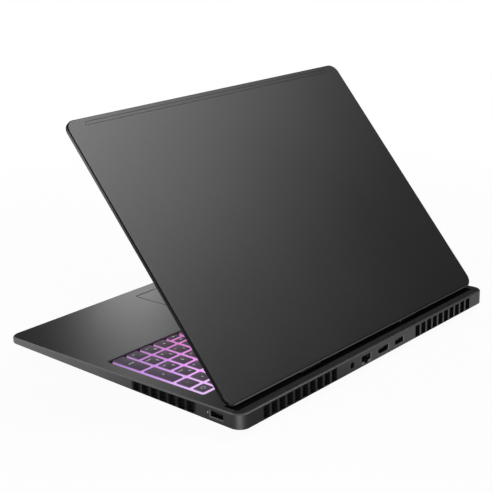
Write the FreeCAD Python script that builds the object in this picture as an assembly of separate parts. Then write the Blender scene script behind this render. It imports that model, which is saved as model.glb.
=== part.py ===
import FreeCAD, Part
import math
import os

V = FreeCAD.Vector

# A sixteen-inch laptop, half open. Millimetres, +x to the user's right, +y to the rear, +z up.
# The desk is z = 0, and x = y = 0 is the middle of the base.

# Base casing
base_width = 356.5
base_depth = 269.0
deck_height = 19.0
base_corner_radius = 9.5
wall_thickness = 2.0
deck_thickness = 1.6
deck_edge_chamfer = 1.0
rear_wall_height = 12.7
front_wall_height = 5.1
underside_angle = 22.0
flat_corner_radius = 3.0
bottom_thickness = 1.6
foot_height = 2.5

# Feet and bottom screws
foot_width = 8.0
foot_corner_radius = 2.5
rear_foot_length = 280.0
rear_foot_inset = 8.0
front_foot_length = 60.0
front_foot_spacing = 170.0
front_foot_inset = 4.0
boss_radius = 3.5
boss_inset = 9.5
screw_radius = 1.0
screw_head_radius = 2.2
screw_head_height = 1.0
screw_depth = 5.0
screw_clearance = 0.1

# Lid
lid_side_inset = 0.75
lid_rear_gap = 4.4
lid_overhang = 1.0
lid_gap = 1.5
lid_thickness = 4.4
lid_corner_radius = 9.5
lid_edge_chamfer = 0.8
lid_plate = 1.0
lid_wall = 1.5
lid_angle = 50.15
bezel_thickness = 1.2
bezel_inset = 0.3
bezel_edge_chamfer = 1.0
bezel_top = 10.5
bezel_side = 5.0
bezel_bottom = 30.3
panel_lap = 1.0
panel_gap = 0.4
strip_end_margin = 19.5
strip_width = 2.8
strip_from_top = 4.1
strip_gap = 0.3
strip_flange = 0.8
strip_flange_thickness = 0.5
webcam_width = 42.0
webcam_depth = 5.0
webcam_height = 1.5
webcam_lens_radius = 1.7
webcam_lens_depth = 0.9
webcam_from_top = 5.0
lens_clearance = 0.2

# Hinges
hinge_from_back = 2.66
hinge_from_rear = 2.12
hinge_offset = 71.5
hinge_width = 25.0
hinge_end_gap = 0.4
hinge_shaft_radius = 1.0
hinge_shaft_fit = 0.04
hinge_knuckle_radius = 1.6
hinge_skin_gap = 0.35
hinge_neck = 1.5
hinge_neck_angle = 60.0
hinge_sweep_gap = 0.35
hinge_foot_depth = 6.0
hinge_leaf_depth = 16.0
hinge_leaf_thickness = 1.8
hinge_ear_length = 6.0
hinge_ear_height = 2.4
hinge_arm_gap = 2.18
hinge_arm_start = 5.0
hinge_arm_height = 1.6
hinge_pocket_depth = 5.4

# Hinge trough across the rear of the deck
ledge_depth = 8.4
trough_depth = 1.7
trough_width = 13.6
trough_end_margin = 6.0
tray_thickness = 0.6
tray_fit = 0.2

# Keyboard
keyboard_side_margin = 12.0
keyboard_rear_margin = 26.0
well_margin = 2.5
well_front_margin = 0.8
well_corner_radius = 2.5
well_skirt = 1.2
key_row_pitch = 18.2
function_row_pitch = 14.5
numpad_pitch = 15.95
numpad_columns = 4
key_gap = 3.2
key_corner_radius = 1.2
key_edge_chamfer = 0.35
key_height = 2.0
key_recess = 0.2
key_travel = 1.5
key_floor_gap = 0.3
key_stem_radius = 2.0
key_stem_clearance = 0.15
panel_thickness = 0.8
plate_thickness = 1.2
plate_margin = 3.0
main_block_units = 14.2
number_row = [0.8] + 12 * [1.0] + [1.4]
upper_row = [1.2] + 13 * [1.0]
home_row = [1.45] + 11 * [1.0] + [1.75]
lower_row = [1.9] + 10 * [1.0] + [2.3]
modifier_row_left = [1.2, 1.0, 1.0, 1.0]
modifier_row_right = [1.0, 1.0]
function_key_count = 15

# Touchpad
touchpad_width = 130.0
touchpad_right = 37.8
touchpad_front_margin = 15.9
touchpad_keyboard_gap = 15.7
touchpad_corner_radius = 2.0
touchpad_thickness = 1.7
touchpad_recess = 0.1
touchpad_clearance = 0.4
touchpad_travel = 0.35
bracket_lap = 6.0
bracket_thickness = 1.2
bracket_gap = 0.2
pivot_rib = 2.0
switch_radius = 3.0
switch_gap = 0.2

# Vents
vent_top_margin = 1.6
rib_width = 2.45
rear_vent_inner = 58.4
rear_vent_side_margin = 26.4
rear_vent_slots = 10
side_vent_from_rear = 47.3
side_vent_length = 65.6
side_vent_slots = 7
grille_thickness = 1.4
grille_lap = 2.0
grille_bar = 0.9

# Sockets in the rear wall, their centres from the middle and below the deck
rear_socket_drop = 6.8
dc_jack_x = 37.0
dc_jack_radius = 2.7
dc_pin_radius = 0.8
dc_shell = 7.4
network_x = 17.2
network_width = 12.6
network_height = 5.4
network_notch_width = 5.0
network_notch_depth = 2.0
network_raise = 0.4
display_port_x = -8.2
display_port_width = 15.2
display_port_height = 5.2
display_port_bevel = 1.6
usb_width = 13.0
usb_height = 4.9
usb_x = -32.5
socket_shell = 0.7
socket_depth = 15.0
tongue_thickness = 1.6
tongue_margin = 1.6

# Sockets in the side walls
side_usb_from_rear = 23.7
side_socket_drop = 5.6
status_light_from_rear = 32.8
status_light_radius = 0.55
status_light_collar = 1.1
usb_c_width = 9.0
usb_c_height = 3.2
usb_c_from_rear = 23.7
audio_from_rear = 38.5
audio_radius = 1.8
audio_shell = 2.9
side_socket_depth = 12.0
small_tongue = 0.8

# Inside the base
bay_gap = 4.0
fan_inner = 60.0
fan_side_margin = 28.0
fan_floor_gap = 1.0
fan_wall = 1.2
fan_cover = 0.8
fan_blade_gap = 2.0
fan_blade_thickness = 0.9
fan_blade_count = 24
fan_hub_radius = 12.0
fan_post_radius = 2.5
fan_post_fit = 0.1
fan_inlet_radius = 24.0
fan_run_gap = 0.6
pipe_width = 8.0
pipe_height = 2.4
pipe_floor_gap = 0.6
fin_thickness = 0.5
fin_count = 28
fin_height = 6.0
board_thickness = 1.2
board_front_inset = 5.3
board_front_depth = 44.0
board_side_margin = 18.0
chip_size = 24.0
chip_height = 1.0
chip_spacing = 36.0
chip_from_pipes = 44.0
cold_plate_margin = 6.0
cold_plate_thickness = 1.6
standoff_radius = 2.5
card_height = 1.8
card_gap = 6.0
card_end_margin = 1.65
memory_width = 69.6
memory_depth = 30.0
storage_width = 80.0
storage_depth = 22.0
radio_width = 30.0
battery_height = 6.6
speaker_width = 38.0
speaker_depth = 52.0
speaker_cone_radius = 11.0
speaker_cone_depth = 1.2
intake_slot_width = 2.6
intake_slot_pitch = 6.5
intake_slot_count = 9
intake_slot_length = 56.0

# Places worked out from the sizes above
half_width = base_width / 2
half_depth = base_depth / 2
deck_under = deck_height - deck_thickness
inner_x = half_width - wall_thickness
inner_y = half_depth - wall_thickness
seam_height_rear = deck_height - rear_wall_height
seam_height_front = deck_height - front_wall_height
seam_slope = (seam_height_front - seam_height_rear) / base_depth
underside_run = 1 / math.tan(math.radians(underside_angle))
flat_rear = half_depth - (seam_height_rear - foot_height) * underside_run
flat_front = -half_depth + (seam_height_front - foot_height) * underside_run
flat_half_rear = half_width - (seam_height_rear - foot_height) * underside_run
flat_half_front = half_width - (seam_height_front - foot_height) * underside_run
floor_top = foot_height + bottom_thickness

trough_rear = half_depth - ledge_depth
trough_front = trough_rear - trough_width
trough_half = half_width - trough_end_margin

lid_half = half_width - lid_side_inset
lid_rear = trough_rear - lid_rear_gap
lid_front = -half_depth - lid_overhang
lid_top = deck_height + lid_gap + lid_thickness
lid_inner = lid_top - lid_thickness
hinge_y = lid_rear - hinge_from_rear
hinge_z = lid_top - hinge_from_back
strip_length = 2 * (lid_half - strip_end_margin)
screen_depth = lid_rear - lid_front - bezel_top - bezel_bottom
hinge_arm_reach = bezel_bottom - panel_lap - hinge_arm_gap - hinge_from_rear - hinge_arm_start

well_half = half_width - keyboard_side_margin
well_rear = trough_front - keyboard_rear_margin
keys_half = well_half - well_margin
keys_rear = well_rear - well_margin
row_edges = [keys_rear - function_row_pitch - row * key_row_pitch for row in range(6)]
well_front = row_edges[-1] - well_front_margin
numpad_left = keys_half - numpad_columns * numpad_pitch
key_unit = (numpad_left + keys_half) / main_block_units
key_top = deck_height - key_recess
key_base = key_top - key_height
panel_top = key_base - key_travel - key_floor_gap
panel_base = panel_top - panel_thickness
plate_base = panel_base - plate_thickness

pad_x = (touchpad_right - touchpad_width, touchpad_right)
pad_y = (-half_depth + touchpad_front_margin, well_front - touchpad_keyboard_gap)
pad_top = deck_height - touchpad_recess
pad_base = pad_top - touchpad_thickness

rear_vent_outer = half_width - rear_vent_side_margin
side_vent_y = (half_depth - side_vent_from_rear - side_vent_length, half_depth - side_vent_from_rear)
vent_top = deck_height - vent_top_margin
rear_socket_height = deck_height - rear_socket_drop
side_socket_height = deck_height - side_socket_drop

pipe_rear = inner_y - socket_depth - bay_gap / 4
pipe_front = pipe_rear - pipe_width
pipe_base = floor_top + pipe_floor_gap
cold_plate_base = pipe_base + pipe_height
cold_plate_top = cold_plate_base + cold_plate_thickness
board_base = cold_plate_top + chip_height
board_top = board_base + board_thickness
board_half = half_width - board_side_margin
board_front = well_front + board_front_inset
board_middle = board_front + board_front_depth
board_waist = fan_inner - bay_gap
fan_x = (fan_inner, half_width - fan_side_margin)
fan_y = (board_middle + bay_gap / 2, pipe_front - bay_gap / 4)
chip_y = pipe_front - chip_from_pipes


def span(centre, size):
    """Return the range of a size about its centre."""
    return (centre - size / 2, centre + size / 2)


def grow(bounds, by):
    """Return a range widened at both ends."""
    return (bounds[0] - by, bounds[1] + by)


def mirror_range(bounds, side):
    """Return a range on the right side (+1) or its mirror image on the left (-1)."""
    return (min(side * bounds[0], side * bounds[1]), max(side * bounds[0], side * bounds[1]))


def block(x, y, z):
    """Return a box between three ranges."""
    return Part.makeBox(x[1] - x[0], y[1] - y[0], z[1] - z[0], V(x[0], y[0], z[0]))


def rod(start, radius, length, axis=V(0, 0, 1)):
    """Return a cylinder from a point along an axis."""
    return Part.makeCylinder(radius, length, V(*start), axis)


def rounded_wire(points, radius, z):
    """Return a closed flat outline with every corner rounded."""
    arcs = []
    for index, point in enumerate(points):
        corner = V(point[0], point[1], z)
        before = (V(*points[index - 1], z) - corner).normalize()
        after = (V(*points[(index + 1) % len(points)], z) - corner).normalize()
        half_angle = before.getAngle(after) / 2
        inward = (before + after).normalize()
        setback = radius / math.tan(half_angle)
        middle = corner + inward * (radius / math.sin(half_angle) - radius)
        arcs.append(Part.Arc(corner + before * setback, middle, corner + after * setback).toShape())
    edges = []
    for arc, following in zip(arcs, arcs[1:] + arcs[:1]):
        edges.append(arc)
        start = arc.valueAt(arc.LastParameter)
        edges.append(Part.makeLine(start, following.valueAt(following.FirstParameter)))
    return Part.Wire(edges)


def rectangle(x, y):
    """Return the corners of a rectangle, anticlockwise."""
    return [(x[0], y[0]), (x[1], y[0]), (x[1], y[1]), (x[0], y[1])]


def slab(x, y, radius, z):
    """Return a flat plate with rounded corners."""
    face = Part.Face(rounded_wire(rectangle(x, y), radius, z[0]))
    return face.extrude(V(0, 0, z[1] - z[0]))


def prism_x(points, x):
    """Return a solid with an outline in (y, z), drawn along x."""
    corners = [V(x[0], y, z) for y, z in points]
    return Part.Face(Part.makePolygon(corners + corners[:1])).extrude(V(x[1] - x[0], 0, 0))


def prism_y(points, y):
    """Return a solid with an outline in (x, z), drawn along y."""
    corners = [V(x, y[0], z) for x, z in points]
    return Part.Face(Part.makePolygon(corners + corners[:1])).extrude(V(0, y[1] - y[0], 0))


def flat_edges(solid, z):
    """Return the edges of a solid that lie at one height."""
    return [edge for edge in solid.Edges if abs(edge.BoundBox.ZMin - z) + abs(edge.BoundBox.ZMax - z) < 1e-6]


def bevelled(solid, z, size):
    """Return a solid with a bevel round its flat face at one height."""
    return solid.makeChamfer(size, flat_edges(solid, z))


def group(shapes):
    """Return separate solids that share one node."""
    return Part.makeCompound(shapes)


def seam_height(y):
    """Return the height of the seam between the two casings at a depth."""
    return seam_height_rear + (half_depth - y) * seam_slope


def flat_half(y):
    """Return half the width of the flat underside at a depth."""
    share = (y - flat_front) / (flat_rear - flat_front)
    return flat_half_front + share * (flat_half_rear - flat_half_front)


def casing_slab(inset, z):
    """Return the plan of the base, drawn in from its edge, as a plate."""
    x = grow((-half_width, half_width), -inset)
    y = grow((-half_depth, half_depth), -inset)
    return slab(x, y, base_corner_radius - inset, z)


def below_seam():
    """Return the space under the sloping seam."""
    reach = grow((-half_depth, half_depth), deck_height)
    points = [(y, seam_height(y)) for y in reach] + [(y, -deck_height) for y in reversed(reach)]
    return prism_x(points, grow((-half_width, half_width), deck_height))


def seam_wire(inset):
    """Return the outline of the base on the sloping seam."""
    column = casing_slab(inset, (0, deck_height)).cut(below_seam())
    lowest = min(column.Faces, key=lambda face: face.CenterOfMass.z)
    return lowest.OuterWire


def flat_wire(inset, z):
    """Return the outline of the flat underside."""
    points = [(-flat_half_front + inset, flat_front + inset), (flat_half_front - inset, flat_front + inset),
              (flat_half_rear - inset, flat_rear - inset), (-flat_half_rear + inset, flat_rear - inset)]
    return rounded_wire(points, flat_corner_radius, z)


def boss_places():
    """Return the places of the screw bosses."""
    reach = plate_margin + boss_radius + screw_clearance
    depths = [flat_front + boss_inset, well_front - reach - boss_inset / 2,
              well_rear + reach + boss_inset / 2]
    return [(side * (flat_half(y) - boss_inset), y) for y in depths for side in (-1, 1)]


def slot_ranges(start, end, count):
    """Return the open ranges of a row of vent slots between two ends."""
    pitch = (end - start + rib_width) / count
    return [(start + index * pitch, start + (index + 1) * pitch - rib_width) for index in range(count)]


def rear_slots(side):
    """Return the ranges of the rear vent slots on one side."""
    slots = slot_ranges(rear_vent_inner, rear_vent_outer, rear_vent_slots)
    return [mirror_range(slot, side) for slot in slots]


def vent_cuts():
    """Return the slots cut through the rear and side walls."""
    through = (-wall_thickness / 2, wall_thickness * 3 / 2)
    rear = (inner_y + through[0], inner_y + through[1])
    side_wall = (inner_x + through[0], inner_x + through[1])
    cuts = []
    for side in (-1, 1):
        cuts += [block(slot, rear, (0, vent_top)) for slot in rear_slots(side)]
        for slot in slot_ranges(side_vent_y[0], side_vent_y[1], side_vent_slots):
            cuts.append(block(mirror_range(side_wall, side), slot, (0, vent_top)))
    return cuts


def network_outline(centre_x, centre_z, margin):
    """Return the outline of the network socket, with the notch for the plug's latch below."""
    half = network_width / 2 + margin
    notch = network_notch_width / 2 + margin
    top = centre_z + network_height / 2 + margin
    low = centre_z - network_height / 2 - margin
    foot = low - network_notch_depth
    right = [(centre_x + notch, foot), (centre_x + notch, low), (centre_x + half, low),
             (centre_x + half, top)]
    left = [(2 * centre_x - x, z) for x, z in reversed(right)]
    return right + left


def display_outline(centre_x, centre_z, margin):
    """Return the outline of the display socket, with its lower corners cut off."""
    half = display_port_width / 2 + margin
    top = centre_z + display_port_height / 2 + margin
    low = centre_z - display_port_height / 2 - margin
    cut = display_port_bevel
    return [(centre_x - half, top), (centre_x - half, low + cut), (centre_x - half + cut, low),
            (centre_x + half - cut, low), (centre_x + half, low + cut), (centre_x + half, top)]


def oblong(centre, width, height):
    """Return the outline of a socket with square corners."""
    x = span(centre[0], width)
    z = span(centre[1], height)
    return rectangle(x, z)


def socket_cuts():
    """Return the holes in the walls for the sockets and the status light."""
    y = (inner_y - wall_thickness / 2, half_depth + wall_thickness)
    cuts = [rod((dc_jack_x, y[0], rear_socket_height), dc_jack_radius, y[1] - y[0], V(0, 1, 0)),
            prism_y(network_outline(network_x, rear_socket_height + network_raise, 0), y),
            prism_y(display_outline(display_port_x, rear_socket_height, 0), y),
            prism_y(oblong((usb_x, rear_socket_height), usb_width, usb_height), y)]
    x = (inner_x - wall_thickness / 2, half_width + wall_thickness)
    right_usb = oblong((half_depth - side_usb_from_rear, side_socket_height), usb_width, usb_height)
    cuts.append(prism_x(right_usb, x))
    light = (x[0], half_depth - status_light_from_rear, side_socket_height)
    cuts.append(rod(light, status_light_radius, x[1] - x[0], V(1, 0, 0)))
    usb_c = oblong((half_depth - usb_c_from_rear, side_socket_height), usb_c_width, usb_c_height)
    cuts.append(prism_x(usb_c, (-x[1], -x[0])))
    jack = (-x[1], half_depth - audio_from_rear, side_socket_height)
    cuts.append(rod(jack, audio_radius, x[1] - x[0], V(1, 0, 0)))
    return cuts


def top_cover():
    """Return the deck with its walls, openings, vents and screw bosses."""
    body = bevelled(casing_slab(0, (0, deck_height)), deck_height, deck_edge_chamfer)
    body = body.cut(casing_slab(wall_thickness, (-deck_height, deck_under)))
    well_x = (-well_half, well_half)
    well_y = (well_front, well_rear)
    skirt = slab(grow(well_x, well_skirt), grow(well_y, well_skirt), well_corner_radius + well_skirt,
                 (panel_top, deck_under))
    bosses = [rod((x, y, floor_top), boss_radius, deck_under - floor_top) for x, y in boss_places()]
    body = body.fuse([skirt] + bosses)
    cuts = [slab(well_x, well_y, well_corner_radius, (0, deck_height + key_height)), below_seam_rim()]
    pad_open = [grow(pad_x, touchpad_clearance), grow(pad_y, touchpad_clearance)]
    cuts.append(slab(*pad_open, touchpad_corner_radius, (0, deck_height + touchpad_thickness)))
    cuts.append(block((-trough_half, trough_half), (trough_front, trough_rear), (0, deck_height * 2)))
    cuts += vent_cuts() + socket_cuts()
    cuts += [rod((x, y, 0), screw_radius + screw_clearance, screw_top()) for x, y in boss_places()]
    return body.cut(cuts).removeSplitter()


def below_seam_rim():
    """Return the space under the seam outside the bay, where only the walls reach."""
    column = casing_slab(wall_thickness, (-deck_height * 2, deck_height * 2))
    return below_seam().cut(column)


def screw_top():
    """Return the height that the bottom screws reach."""
    return foot_height + screw_head_height + screw_depth + screw_clearance


def bottom_cover():
    """Return the tapered lower casing with its air intakes and screw holes."""
    shell = Part.makeLoft([seam_wire(0), flat_wire(0, foot_height)], True, True)
    hollow_top = seam_wire(wall_thickness)
    hollow = Part.makeLoft([hollow_top, flat_wire(bottom_thickness, floor_top)], True, True)
    cuts = [hollow]
    for side in (-1, 1):
        x = mirror_range(span(sum(fan_x) / 2, intake_slot_length), side)
        for index in range(intake_slot_count):
            offset = (index - (intake_slot_count - 1) / 2) * intake_slot_pitch
            y = span(sum(fan_y) / 2 + offset, intake_slot_width)
            cuts.append(block(x, y, (0, floor_top * 2)))
    for x, y in boss_places():
        cuts.append(rod((x, y, 0), screw_radius + screw_clearance, deck_height))
        cuts.append(rod((x, y, 0), screw_head_radius + screw_clearance, foot_height + screw_head_height))
    return shell.cut(cuts)


def bottom_screws():
    """Return the screws that hold the two casings together."""
    screws = []
    for x, y in boss_places():
        head = rod((x, y, foot_height), screw_head_radius, screw_head_height)
        shank = rod((x, y, foot_height), screw_radius, screw_head_height + screw_depth)
        screws.append(head.fuse(shank).removeSplitter())
    return group(screws)


def rear_foot():
    """Return the long rubber foot under the rear."""
    y = span(flat_rear - rear_foot_inset, foot_width)
    return slab(span(0, rear_foot_length), y, foot_corner_radius, (0, foot_height))


def front_feet():
    """Return the two short rubber feet under the front."""
    y = span(flat_front + front_foot_inset + foot_width / 2, foot_width)
    feet = []
    for side in (-1, 1):
        x = span(side * front_foot_spacing / 2, front_foot_length)
        feet.append(slab(x, y, foot_corner_radius, (0, foot_height)))
    return group(feet)


def hinge_x(side):
    """Return the range of one hinge along its shaft."""
    return span(side * hinge_offset, hinge_width)


def hinge_trough():
    """Return the black tray under the hinges, open where the hinge brackets pass."""
    x = (-trough_half, trough_half)
    y = (trough_front, trough_rear)
    floor = deck_height - trough_depth
    tray = block(grow(x, tray_thickness), grow(y, tray_thickness), (floor - tray_thickness, deck_under))
    cuts = [block(x, y, (floor, deck_height))]
    for side in (-1, 1):
        way = (hinge_y - hinge_leaf_depth * 2, trough_front + hinge_foot_depth + tray_fit * 2)
        cuts.append(block(grow(hinge_x(side), tray_fit), way, (0, deck_height)))
    return tray.cut(cuts)


def hinge_bracket(side):
    """Return a hinge bracket: a leaf under the deck, a foot in the trough and a knuckle on a neck."""
    x = hinge_x(side)
    width = x[1] - x[0]
    foot_top = hinge_z - math.hypot(hinge_from_back, hinge_from_rear) - hinge_sweep_gap
    leaf_z = (deck_under - hinge_leaf_thickness, deck_under)
    foot_y = (trough_front + tray_fit, trough_front + tray_fit + hinge_foot_depth)
    leaf = block(x, (trough_front - hinge_leaf_depth, foot_y[1]), leaf_z)
    foot = block(x, foot_y, (leaf_z[0], foot_top))
    lean = math.radians(hinge_neck_angle)
    along = (-math.cos(lean), -math.sin(lean))
    across = (math.sin(lean) * hinge_neck / 2, -math.cos(lean) * hinge_neck / 2)
    reach = (hinge_z - foot_top) / math.sin(lean) + hinge_neck / 2
    end = (hinge_y + along[0] * reach, hinge_z + along[1] * reach)
    axis = (hinge_y, hinge_z)
    outline = [(axis[0] + across[0], axis[1] + across[1]), (axis[0] - across[0], axis[1] - across[1]),
               (end[0] - across[0], end[1] - across[1]), (end[0] + across[0], end[1] + across[1])]
    neck = prism_x(outline, x)
    knuckle = rod((x[0], hinge_y, hinge_z), hinge_knuckle_radius, width, V(1, 0, 0))
    bore = rod((x[0], hinge_y, hinge_z), hinge_shaft_radius + hinge_shaft_fit, width, V(1, 0, 0))
    return leaf.fuse([foot, neck, knuckle]).cut(bore).removeSplitter()


def opened(shape):
    """Return a lid piece, modelled closed, turned to the angle of the photograph."""
    return shape.rotate(V(0, hinge_y, hinge_z), V(1, 0, 0), -lid_angle)


def lid_slab(inset, z):
    """Return the plan of the lid, drawn in from its edge, as a plate."""
    x = grow((-lid_half, lid_half), -inset)
    y = grow((lid_front, lid_rear), -inset)
    return slab(x, y, lid_corner_radius - inset, z)


def hinge_pockets(z):
    """Return the pockets in the lid that the hinges turn in."""
    y = (hinge_y - hinge_pocket_depth, lid_rear + lid_wall)
    ends = hinge_ear_length + hinge_end_gap * 2
    return [block(grow(hinge_x(side), ends), y, z) for side in (-1, 1)]


def strip_ranges(margin):
    """Return the plan of the aerial strip near the top of the lid."""
    y_front = lid_front + strip_from_top
    return grow(span(0, strip_length), margin), grow((y_front, y_front + strip_width), margin)


def lid_cover():
    """Return the lid's back with its turned-in edges."""
    cover_base = lid_inner + bezel_thickness
    body = bevelled(lid_slab(0, (cover_base, lid_top)), lid_top, lid_edge_chamfer)
    under_plate = lid_top - lid_plate
    cuts = [lid_slab(lid_wall, (lid_inner, under_plate))]
    cuts += hinge_pockets((lid_inner, hinge_z + hinge_knuckle_radius + hinge_skin_gap))
    cuts.append(block(*strip_ranges(strip_gap), (lid_inner, lid_top + lid_plate)))
    return opened(body.cut(cuts))


def aerial_strip():
    """Return the plastic strip over the aerials, with its flange behind the lid's plate."""
    under_plate = lid_top - lid_plate
    face = block(*strip_ranges(0), (under_plate - strip_flange_thickness, lid_top))
    flange = block(*strip_ranges(strip_flange), (under_plate - strip_flange_thickness, under_plate))
    return opened(face.fuse(flange).removeSplitter())


def screen_range():
    """Return the depth range of the screen's window in the closed lid."""
    return (lid_front + bezel_top, lid_front + bezel_top + screen_depth)


def display_bezel():
    """Return the frame round the screen."""
    frame = lid_slab(bezel_inset, (lid_inner, lid_inner + bezel_thickness))
    frame = bevelled(frame, lid_inner, bezel_edge_chamfer)
    tall = (lid_inner - bezel_thickness, lid_inner + bezel_thickness * 2)
    cuts = [block(grow((-lid_half, lid_half), -bezel_side), screen_range(), tall)]
    cuts += hinge_pockets(tall)
    lens = (0, lid_front + webcam_from_top, tall[0])
    cuts.append(rod(lens, webcam_lens_radius + lens_clearance, tall[1] - tall[0]))
    return opened(frame.cut(cuts))


def display_panel():
    """Return the screen panel behind the bezel."""
    z = (lid_inner + bezel_thickness, lid_top - lid_plate - panel_gap)
    x = grow((-lid_half, lid_half), panel_lap - bezel_side)
    return opened(block(x, grow(screen_range(), panel_lap), z))


def webcam():
    """Return the camera module above the screen, with its lens in the bezel."""
    z = (lid_inner + bezel_thickness, lid_inner + bezel_thickness + webcam_height)
    centre = lid_front + webcam_from_top
    board = block(span(0, webcam_width), span(centre, webcam_depth), z)
    lens = rod((0, centre, z[0] - webcam_lens_depth), webcam_lens_radius, webcam_lens_depth)
    return opened(board.fuse(lens).removeSplitter())


def hinge_arm(side):
    """Return the lid's half of a hinge: a plate in the lid, two ears and the shaft."""
    x = hinge_x(side)
    ears_x = grow(x, hinge_end_gap + hinge_ear_length)
    under_plate = lid_top - lid_plate
    plate_z = (under_plate - hinge_arm_height, under_plate)
    plate_y = (hinge_y - hinge_arm_start - hinge_arm_reach, hinge_y - hinge_arm_start)
    parts = []
    for start in (ears_x[0], x[1] + hinge_end_gap):
        ear_y = (hinge_y - hinge_arm_start, hinge_y + hinge_ear_height / 2)
        parts.append(block((start, start + hinge_ear_length), ear_y, span(hinge_z, hinge_ear_height)))
    parts.append(rod((ears_x[0], hinge_y, hinge_z), hinge_shaft_radius, ears_x[1] - ears_x[0], V(1, 0, 0)))
    arm = block(ears_x, plate_y, plate_z).fuse(parts)
    return opened(arm.removeSplitter())


def row_ranges(units, start):
    """Return the pitch ranges of a row of keys from their widths in key units."""
    ranges = []
    for unit in units:
        ranges.append((start, start + unit * key_unit))
        start += unit * key_unit
    return ranges


def key_plan():
    """Return each key node with the pitch rectangles of its keys."""
    rows = [(row_edges[index + 1], row_edges[index]) for index in range(len(row_edges) - 1)]
    number_y, upper_y, home_y, lower_y, front_y = rows
    function_y = (row_edges[0], keys_rear)
    left = -keys_half
    columns = [(keys_half - (index + 1) * numpad_pitch, keys_half - index * numpad_pitch)
               for index in range(numpad_columns)]
    even = function_key_count * [main_block_units / function_key_count]
    home = row_ranges(home_row, left)
    modifiers = row_ranges(modifier_row_left, left)
    arrows = [(numpad_left - index * numpad_pitch, numpad_left - (index - 1) * numpad_pitch)
              for index in range(3)]
    right_start = arrows[-1][0] - sum(modifier_row_right) * key_unit
    half_row = sum(front_y) / 2
    plan = {
        "function_row_keys": [(x, function_y) for x in row_ranges(even, left) + columns[1:]],
        "power_key": [(columns[0], function_y)],
        "number_row_keys": [(x, number_y) for x in row_ranges(number_row, left)],
        "upper_letter_keys": [(x, upper_y) for x in row_ranges(upper_row, left)],
        "home_letter_keys": [(x, home_y) for x in home[:-1]],
        "enter_key": [(home[-1], home_y)],
        "lower_letter_keys": [(x, lower_y) for x in row_ranges(lower_row, left)],
        "modifier_keys": [(x, front_y) for x in modifiers + row_ranges(modifier_row_right, right_start)],
        "space_bar": [((modifiers[-1][1], right_start), front_y)],
        "arrow_keys": [(arrows[0], front_y), (arrows[2], front_y), (arrows[1], (front_y[0], half_row)),
                       (arrows[1], (half_row, front_y[1]))],
        "numpad_plus_key": [(columns[0], (home_y[0], upper_y[1]))],
        "numpad_enter_key": [(columns[0], (front_y[0], lower_y[1]))],
    }
    numpad = [(x, number_y) for x in columns]
    for y in (upper_y, home_y, lower_y):
        numpad += [(x, y) for x in columns[1:]]
    numpad += [(x, front_y) for x in columns[1:3]]
    plan["numpad_keys"] = numpad
    return plan


def stem_place(key):
    """Return the middle of a key."""
    return sum(key[0]) / 2, sum(key[1]) / 2


def key_cap(key):
    """Return one key: a cap with rounded corners and a guide stem below."""
    x = grow(key[0], -key_gap / 2)
    y = grow(key[1], -key_gap / 2)
    cap = bevelled(slab(x, y, key_corner_radius, (key_base, key_top)), key_top, key_edge_chamfer)
    stem_base = plate_base + key_travel
    stem = rod((*stem_place(key), stem_base), key_stem_radius, key_base - stem_base)
    return cap.fuse(stem).removeSplitter()


def keyboard_sheet(plan, z):
    """Return a sheet under the keys, with a hole for each stem."""
    x = grow((-well_half, well_half), plate_margin)
    y = grow((well_front, well_rear), plate_margin)
    radius = key_stem_radius + key_stem_clearance
    holes = [rod((*stem_place(key), 0), radius, deck_height) for keys in plan.values() for key in keys]
    return slab(x, y, well_corner_radius, z).cut(group(holes))


def touchpad():
    """Return the touchpad plate."""
    return slab(pad_x, pad_y, touchpad_corner_radius, (pad_base, pad_top))


def touchpad_bracket():
    """Return the plate under the touchpad, with its rails, pivot rib and click switch."""
    x = grow(pad_x, bracket_lap)
    y = grow(pad_y, bracket_lap)
    top = pad_base - touchpad_travel - switch_gap * 2
    floor = (top - bracket_thickness, top)
    plate = block(x, y, floor)
    inner_edge = bracket_lap - touchpad_clearance - bracket_gap
    rails = [block((x[0], x[0] + inner_edge), y, (top, deck_under)),
             block((x[1] - inner_edge, x[1]), y, (top, deck_under)),
             block(x, (y[1] - inner_edge, y[1]), (top, deck_under)),
             block(x, (pad_y[1] - pivot_rib, pad_y[1]), (top, pad_base - bracket_gap))]
    switch = rod((sum(pad_x) / 2, pad_y[0] + bracket_lap, top), switch_radius, switch_gap)
    return plate.fuse(rails + [switch]).removeSplitter()


def grille(x, y, bars, z, along_x):
    """Return a dark inner grille: a frame with one upright bar for each slot and one cross bar."""
    body = block(x, y, z)
    middle = sum(z) / 2
    heights = [(z[0] + grille_bar, middle - grille_bar / 2), (middle + grille_bar / 2, z[1] - grille_bar)]
    cuts = []
    for slot in bars:
        for part in (-1, 1):
            centre = sum(slot) / 2 + part * ((slot[1] - slot[0]) / 4)
            opening = span(centre, (slot[1] - slot[0]) / 2 - grille_bar)
            for height in heights:
                if along_x:
                    cuts.append(block(opening, grow(y, grille_thickness), height))
                else:
                    cuts.append(block(grow(x, grille_thickness), opening, height))
    return body.cut(cuts)


def rear_grille(side):
    """Return the grille behind the rear vent on one side."""
    slots = rear_slots(side)
    x = grow(mirror_range((rear_vent_inner, rear_vent_outer), side), grille_lap)
    y = (inner_y - grille_thickness, inner_y)
    return grille(x, y, slots, (seam_height(inner_y - grille_thickness), deck_under), True)


def side_grille(side):
    """Return the grille behind the side vent on one side."""
    slots = slot_ranges(side_vent_y[0], side_vent_y[1], side_vent_slots)
    x = mirror_range((inner_x - grille_thickness, inner_x), side)
    y = grow(side_vent_y, grille_lap)
    return grille(x, y, slots, (seam_height(y[0]), deck_under), False)


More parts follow.
